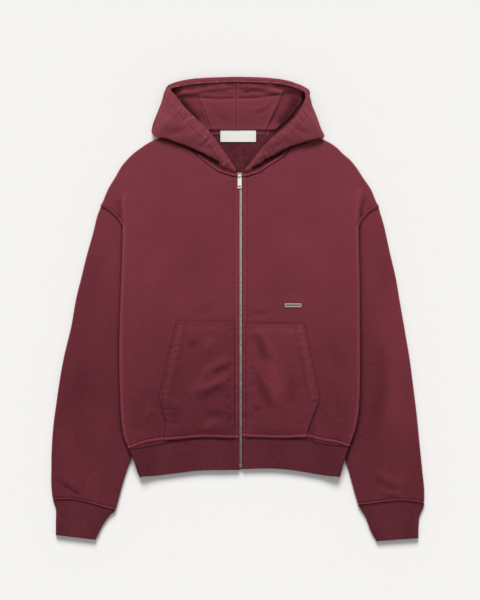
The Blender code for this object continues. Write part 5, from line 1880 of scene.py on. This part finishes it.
@dataclass(frozen=True)
class HoodLining(HalfPiece):
    """Inner hood half as it lies in the opening, edges tucked under the flap."""

    wall: float = 2.6

    @staticmethod
    def beside(x: Array, y: Array) -> Array:
        """Tells the flat middle between the two slanted ridges from what lies beside them.

        Args:
            x, y: places in plan.

        Returns:
            0 in the middle, 1 beside it.
        """
        left = (x + 49) - (y - 352) * -0.39
        right = (50 - x) - (y - 342) * -0.44
        return 1 - ease(left / 5 + 0.5) * ease(right / 5 + 0.5)

    def height(self, x: Array, y: Array) -> Array:
        """Shapes the folded cloth.

        Args:
            x, y: places in plan.

        Returns:
            The height of its top.
        """
        crease_y = 420.5 + 6.5 * ease((x - 10) / 80)
        top = mix(6.4, 10.2, between(358, 400, y)) + 4.2 * between(432, 452, y)
        side = self.beside(x, y) * (1 - ease((y - crease_y) / 12))
        return top + lay(LINING_FOLDS, x, y)[0] - np.where(x > 0, 4.6, 3.4) * side

    def make(self) -> None:
        """Builds the shell of the folded layers."""
        half = self.half
        base = FLEECE + SEAM
        u = steps((0, 8, 0.9), (8, 110, 1.6)) / 110
        rows = []
        for y in steps((357.0, 452, 1.15)):
            x = mix(HOOD_SEAM_X + half.sign * SEAM / 2, half.sign * float(half.lining.at(y)), u)
            rim = np.minimum(ease((1 - u) / 0.12 + mix(0.15, 0.5, between(395, 420, y))), 1.0)
            level = np.full_like(x, y)
            top = base + 0.2 + np.maximum(self.height(x, level) - base - self.wall, 0.0) * rim
            rows.append(np.column_stack((x, level, top + self.wall / 2)))
        cloth = ClothGrid(f"hood_lining_{half.word}", rows, turn=half.sign)
        x, y = cloth.plan()
        middle, neck, beside = np.abs(x - HOOD_SEAM_X), y - 357.6, self.beside(x, y)
        relief = groove(middle, 0.0, 1.0, 1.2) + swell(middle, 0.8, 6.0, 0.35)
        relief += groove(neck, 0.0, 0.8, 1.0) + swell(neck, 0.6, 4.6, 0.2)
        clear = between(0, 6, middle)
        crumple = waves(x, y * 1.6, 19, 1.9, 63.0) * between(424, 432, y) * clear
        crumple += waves(x, y, 16, 0.8, 64.0) * beside
        # Painted light and shade: seams lighter on ridges and darker in grooves, painted shade beside the
        # slanted ridges and in the lining's hollows, crumples lighter on rises, and the folds' painted light
        # and shade.
        cloth.wear += rubbed_and_painted_shade(relief) - 0.06 * beside * between(432, 420, y) + 0.10 * crumple
        cloth.wear += lay(LINING_PAINTED_SHADE, x, y)[0] + lay(LINING_FOLDS, x, y)[1]
        cloth.lift(relief + waves(x, y, 30, 0.7, 61.0) * clear + crumple, base + self.wall / 2 + 0.05)
        cloth.hand_over(self.wardrobe.jersey, "fleece", (0.125, 0.10), [f"hood_{half.word}"],
                        held="folded", wall=self.wall, rounding=0.0)


# ---- neck trim and badge


@dataclass(frozen=True)
class NeckTrim:
    """Tape over the back neck seam, and the blank woven label sewn on it by its ends."""

    wardrobe: Wardrobe
    tape_x: Pair = (-53.0, 63.0)
    tape_y: Pair = (347.5, 358.0)
    label_centre: Pair = (0.9, 345.7)
    label_size: Pair = (71.0, 24.0)
    wall: float = 0.8

    def strip(self, name: str, x: Array, y: Array, height: float, sag: float) -> ClothGrid:
        """Flat strip of columns x and rows y at a height, with a slight uneven rise."""
        gx, gy = np.meshgrid(x, y)
        return ClothGrid(name, np.dstack((gx, gy, height + sag * np.abs(waves(gx, gy, 24, 1.0, 71.0)))))

    def make(self) -> None:
        """Builds tape and label with their stitches."""
        dress = self.wardrobe
        seat = FLEECE + SEAM + self.wall / 2
        tape = self.strip("neck_tape", np.linspace(*self.tape_x, 70), np.linspace(*self.tape_y, 12),
                          seat, 0.25)
        from_middle = tape.points[..., 1] - self.tape_y[0] - 5.2
        tape.lift(swell(from_middle, -4.4, 4.4, 0.25))
        tape.hand_over(dress.binding, "tape", (0.106, 0.0105), ["back"], wall=self.wall, rounding=0.2)
        (cx, cy), (w, h) = self.label_centre, self.label_size
        inset = w / 2 - 8
        x = cx + steps((-w / 2, -inset, 0.6), (-inset, inset, 2.0), (inset, w / 2, 0.6))
        y = cy + np.linspace(-h / 2, h / 2, 17)
        label = self.strip("neck_label", x, y, seat + self.wall + SEAM, 0.3)
        ends = w / 2 - np.abs(label.points[..., 0] - cx)
        label.lift(groove(ends, 4.2, 0.22, 0.7) + swell(ends, 0.2, 4.0, 0.22))
        label.hand_over(dress.label, "label", (0.086, 0.024), ["neck_tape", "back"], held="folded",
                        wall=self.wall, rounding=0.25)
        rows = [tape.line(np.s_[row, :], 0.5) for row in (1, 10)]
        Stitching(2.6, 2.0, 0.35).sew("neck_tape_stitches", rows, dress.thread)
        near = [nearest(x, cx + s * (w / 2 - 4.2)) for s in (-1, 1)]
        rows = [label.line(np.s_[1:16, column], 0.45) for column in near]
        Stitching(2.2, 1.7, 0.3).sew("label_stitches", rows, dress.label)


@dataclass(frozen=True)
class Badge:
    """Blank metal bar with a raised rim, clasped through the cloth."""

    wardrobe: Wardrobe
    centre: Pair = (110.7, 7.3)
    rim: float = 1.9
    step: float = 0.15          # slope between the rim and the sunk face
    depth: float = 0.3
    rounding: float = 0.12

    def make(self) -> None:
        """Builds the plate over its solid."""
        low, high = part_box("badge")
        deselect_all()
        bpy.ops.mesh.primitive_cube_add(size=1.0, location=[(a + b) / 2 for a, b in zip(low, high)],
                                        scale=[b - a for a, b in zip(low, high)])
        plate = bpy.context.object
        plate.name = "badge_plate"
        bpy.ops.object.transform_apply(location=True, rotation=True, scale=True)
        bpy.ops.object.mode_set(mode="EDIT")
        bpy.ops.mesh.select_all(action="DESELECT")
        bpy.ops.object.mode_set(mode="OBJECT")
        for face in plate.data.polygons:
            face.select = face.normal.z > 0.9
        bpy.ops.object.mode_set(mode="EDIT")
        bpy.ops.mesh.inset(thickness=self.rim * MM, depth=0.0)
        bpy.ops.mesh.inset(thickness=self.step * MM, depth=-self.depth * MM)
        bpy.ops.object.mode_set(mode="OBJECT")
        modify(plate, "BEVEL", "soft_edges", width=self.rounding * MM, segments=2)
        finish_piece(plate, self.wardrobe.badge, 40)
        plate.data.materials.append(self.wardrobe.recess)
        for face in plate.data.polygons:
            sunk = max(plate.data.vertices[i].co.z for i in face.vertices) < high[2] - 0.2 * MM
            face.material_index = int(sunk and face.normal.z > 0.5)
        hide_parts("badge")
        LOG.info("badge")


# ---- zip


@dataclass(frozen=True)
class Zip:
    """Closed metal zip: woven tapes, meshed teeth, end box, slider and swinging pull."""

    wardrobe: Wardrobe
    tooth_pitch: float = 2.4
    tooth_size: Point3 = (2.6, 1.95, 2.2)
    offset: float = 1.1         # middle of a row from the middle of the zip
    proud: float = 1.3          # middle of the teeth above the middle of the chain
    end_room: float = 0.8       # from the chain's end to the first tooth
    nose: float = 0.62          # width of the rounded nose, as a share of the tooth's

    def tape(self, name: str) -> None:
        """Weaves a tape behind a front's edge.

        Args:
            name: name of its solid.
        """
        low, high = (np.array(corner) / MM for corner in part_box(name))
        x, y = np.meshgrid(np.linspace(low[0], high[0], 12), np.linspace(low[1], high[1], 160))
        cloth = ClothGrid(name, np.dstack((x, y, (low[2] + high[2]) / 2 + 0.08 * np.sin(y / 7))))
        cloth.hand_over(self.wardrobe.tape, "tape", (0.013, 0.585), ["back"], wall=0.7, rounding=0.2)

    def tooth(self) -> tuple[Array, Faces]:
        """Models one tooth: a bar with a rounded nose that points towards +X.

        Returns:
            Its vertices and faces.
        """
        deselect_all()
        bpy.ops.mesh.primitive_cube_add(size=1.0, scale=self.tooth_size)
        seed = bpy.context.object
        bpy.ops.object.transform_apply(location=False, rotation=False, scale=True)
        modify(seed, "BEVEL", "rounding", width=0.28, segments=1)
        vertices, faces = take_shape(seed)
        vertices[:, 1] *= np.where(vertices[:, 0] > self.tooth_size[0] * 0.3, self.nose, 1.0)
        return vertices, faces

    def teeth(self) -> None:
        """Sets two rows of teeth that mesh in the middle."""
        seed, faces = self.tooth()
        low, high = (np.array(corner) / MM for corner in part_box("zip_chain"))
        every = []
        levels = np.arange(low[1] + self.end_room, high[1] - self.end_room, self.tooth_pitch / 2)
        for n, y in enumerate(levels):
            sign = 1 if n % 2 else -1
            place = (ZIP_X + sign * self.offset, y, (low[2] + high[2]) / 2 + self.proud)
            every.append(seed * (-sign, -sign, 1) + place)
        piece = joined_copies("zip_teeth", np.array(every), faces)
        finish_piece(piece, self.wardrobe.teeth, 30)
        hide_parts("zip_chain")
        LOG.info("zip: %d teeth", len(every))

    def make(self) -> None:
        """Builds the zip and dresses the solids that stay."""
        for side in Wearer:
            self.tape(f"zip_tape_{side.name.lower()}")
        self.teeth()
        dress = self.wardrobe
        for name, material in (("box", dress.recess), ("slider", dress.badge), ("pull", dress.pull)):
            for slot in bpy.data.objects[f"zip_{name}"].material_slots:
                slot.material = material


# ---- stitches


@dataclass(frozen=True)
class Topstitching:
    """All visible rows of stitches, sewn on the finished cloth."""

    wardrobe: Wardrobe
    lift: float = FLEECE / 2 - 0.02
    pocket_lift: float = Pocket.wall / 2 - 0.02
    tack_rise: float = 0.3          # extra lift of the bar tack, which is sewn over the hem
    facing_end: float = 267.0       # level where the facing's row stops
    edge_start: float = -238.0      # level where the row on the opening's edge starts
    opening_rows: Point3 = (21.6, 16.5, 2.7)

    def rows(self, half: Half) -> dict[str, list[Line]]:
        """Follows seams, hems and facing over the finished cloth.

        Args:
            half: the half to sew.

        Returns:
            Points and normals of each row, by kind of piece.
        """
        front, pocket, hood, sleeve = (ClothGrid.finished[f"{kind}_{half.word}"]
                                       for kind in ("front", "pocket", "hood", "sleeve"))
        levels = FrontPanel.levels()
        inner = np.abs(front.points[20, :, 0] - front.points[20, 0, 0])
        pick = np.s_[:nearest(levels, self.facing_end), nearest(inner, FrontPanel.facing)]
        facing = front.line(pick, self.lift)
        seam = front.line(np.s_[nearest(levels, SEAM_LEVEL + SEAM_ROW), :-10], self.lift)

        outer = np.abs(pocket.points[40, :, 0] - pocket.points[40, -1, 0])
        x, y = pocket.points[:, 5, 0], pocket.points[:, 5, 1]
        tack = nearest(y, half.tack_y)
        opening = zip(self.opening_rows, (tack, tack, nearest(y, self.edge_start)))
        across = [nearest(half.pocket_top - y, d) for d in Pocket.top_rows]
        across.append(nearest(y - half.seam_y(x), SEAM_ROW))
        picks = [*(np.s_[start:, nearest(outer, d)] for d, start in opening), *(np.s_[n, :] for n in across)]
        pockets = [pocket.line(pick, self.pocket_lift) for pick in picks]
        pockets += [pocket.line(np.s_[tack + n, -11:], self.pocket_lift + self.tack_rise) for n in (-1, 0, 1)]

        wall, hoods = hood.distance(1), []
        for distance, end in ((Hood.hem, -60), (Hood.edge_row, None)):
            index = np.argmin(np.abs(wall[:, -1:] - wall - distance), axis=1)
            place, normal = hood.line((np.arange(len(index)), index), self.lift)
            for _ in range(6):      # evens out a line that was picked point by point
                middle = (place[:-2] + place[1:-1] * 2 + place[2:]) / 4
                place = np.concatenate((place[:1], middle, place[-1:]))
            hoods.append((place[3:end], normal[3:end]))

        along = sleeve.distance(0)[:, 30]
        cuff = sleeve.line(np.s_[nearest(along[-1] - along, CUFF_ROW), :], self.lift)
        return {"front": [facing, seam], "pocket": pockets, "hood": hoods, "sleeve": [cuff]}

    def make(self) -> None:
        """Sews every row."""
        sides = [self.rows(half) for half in HALVES]
        for kind in sides[0]:
            for half, rows in zip(HALVES, sides):
                Stitching().sew(f"{kind}_stitches_{half.word}", rows[kind], self.wardrobe.thread)


# ---- studio


@dataclass(frozen=True)
class Studio:
    """Pale floor, soft light from above the hood and a camera straight overhead."""

    paper: Paper = Paper("studio_paper", "#EFEEEC")
    centre: Pair = (4.5, 18.1)
    field_height: float = 1200.0
    floor_size: float = 9000.0
    floor_drop: float = 0.3         # the floor lies below the cloth by this
    lens: float = 100.0
    sensor: float = 36.0
    sun_place: Point3 = (-0.3, 3.6, 2.6)
    sun_spread: float = 27.0        # width of the soft box as seen from the floor, in degrees
    sun_strength: float = 3.36
    fill: float = 0.43

    def floor(self) -> None:
        """Lays the floor a little below the cloth."""
        deselect_all()
        bpy.ops.mesh.primitive_plane_add(size=self.floor_size * MM, location=(0, 0, -self.floor_drop * MM))
        plane = bpy.context.object
        plane.name = "studio_floor"
        bpy.ops.object.transform_apply(location=True, rotation=True, scale=True)
        plane.data.materials.append(self.paper.make())

    def light(self) -> None:
        """Sets a soft box so far away that it lights the whole floor evenly, and a fill."""
        data = bpy.data.lights.new("top_softbox", "SUN")
        data.angle = math.radians(self.sun_spread)
        data.energy = self.sun_strength
        lamp = add_object("top_softbox", data)
        lamp.location = self.sun_place
        lamp.rotation_euler = (-Vector(self.sun_place)).to_track_quat("-Z", "Y").to_euler()
        world = bpy.data.worlds.new("studio_fill")
        bpy.context.scene.world = world
        world.use_nodes = True
        shade = world.node_tree.nodes["Background"].inputs
        shade["Color"].default_value = (1.0, 0.995, 0.985, 1.0)
        shade["Strength"].default_value = self.fill

    def camera(self) -> None:
        """Hangs the camera straight above, hood at the top of its frame."""
        data = bpy.data.cameras.new("overhead_camera")
        data.lens = self.lens
        data.sensor_fit = "VERTICAL"
        data.sensor_height = self.sensor
        eye = add_object("overhead_camera", data)
        eye.location = np.array((*self.centre, self.field_height * self.lens / self.sensor)) * MM
        bpy.context.scene.camera = eye

    def make(self) -> None:
        """Builds the stage."""
        self.floor()
        self.light()
        self.camera()
        bpy.context.scene.view_settings.view_transform = "Standard"


# ---- hand over


def main() -> None:
    """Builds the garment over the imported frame, piece by piece."""
    logging.basicConfig(level=logging.INFO, format="%(name)s: %(message)s")
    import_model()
    wardrobe = Wardrobe()
    BackPanel(wardrobe).make()
    for half in HALVES:
        for part in (FrontPanel, Pocket, Sleeve, Cuff, Hood, HoodLining):
            part(half, wardrobe).make()
    for part in (Waistband, NeckTrim, Badge, Zip, Topstitching):
        part(wardrobe).make()
    Studio().make()
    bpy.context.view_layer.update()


if __name__ == "__main__":
    main()
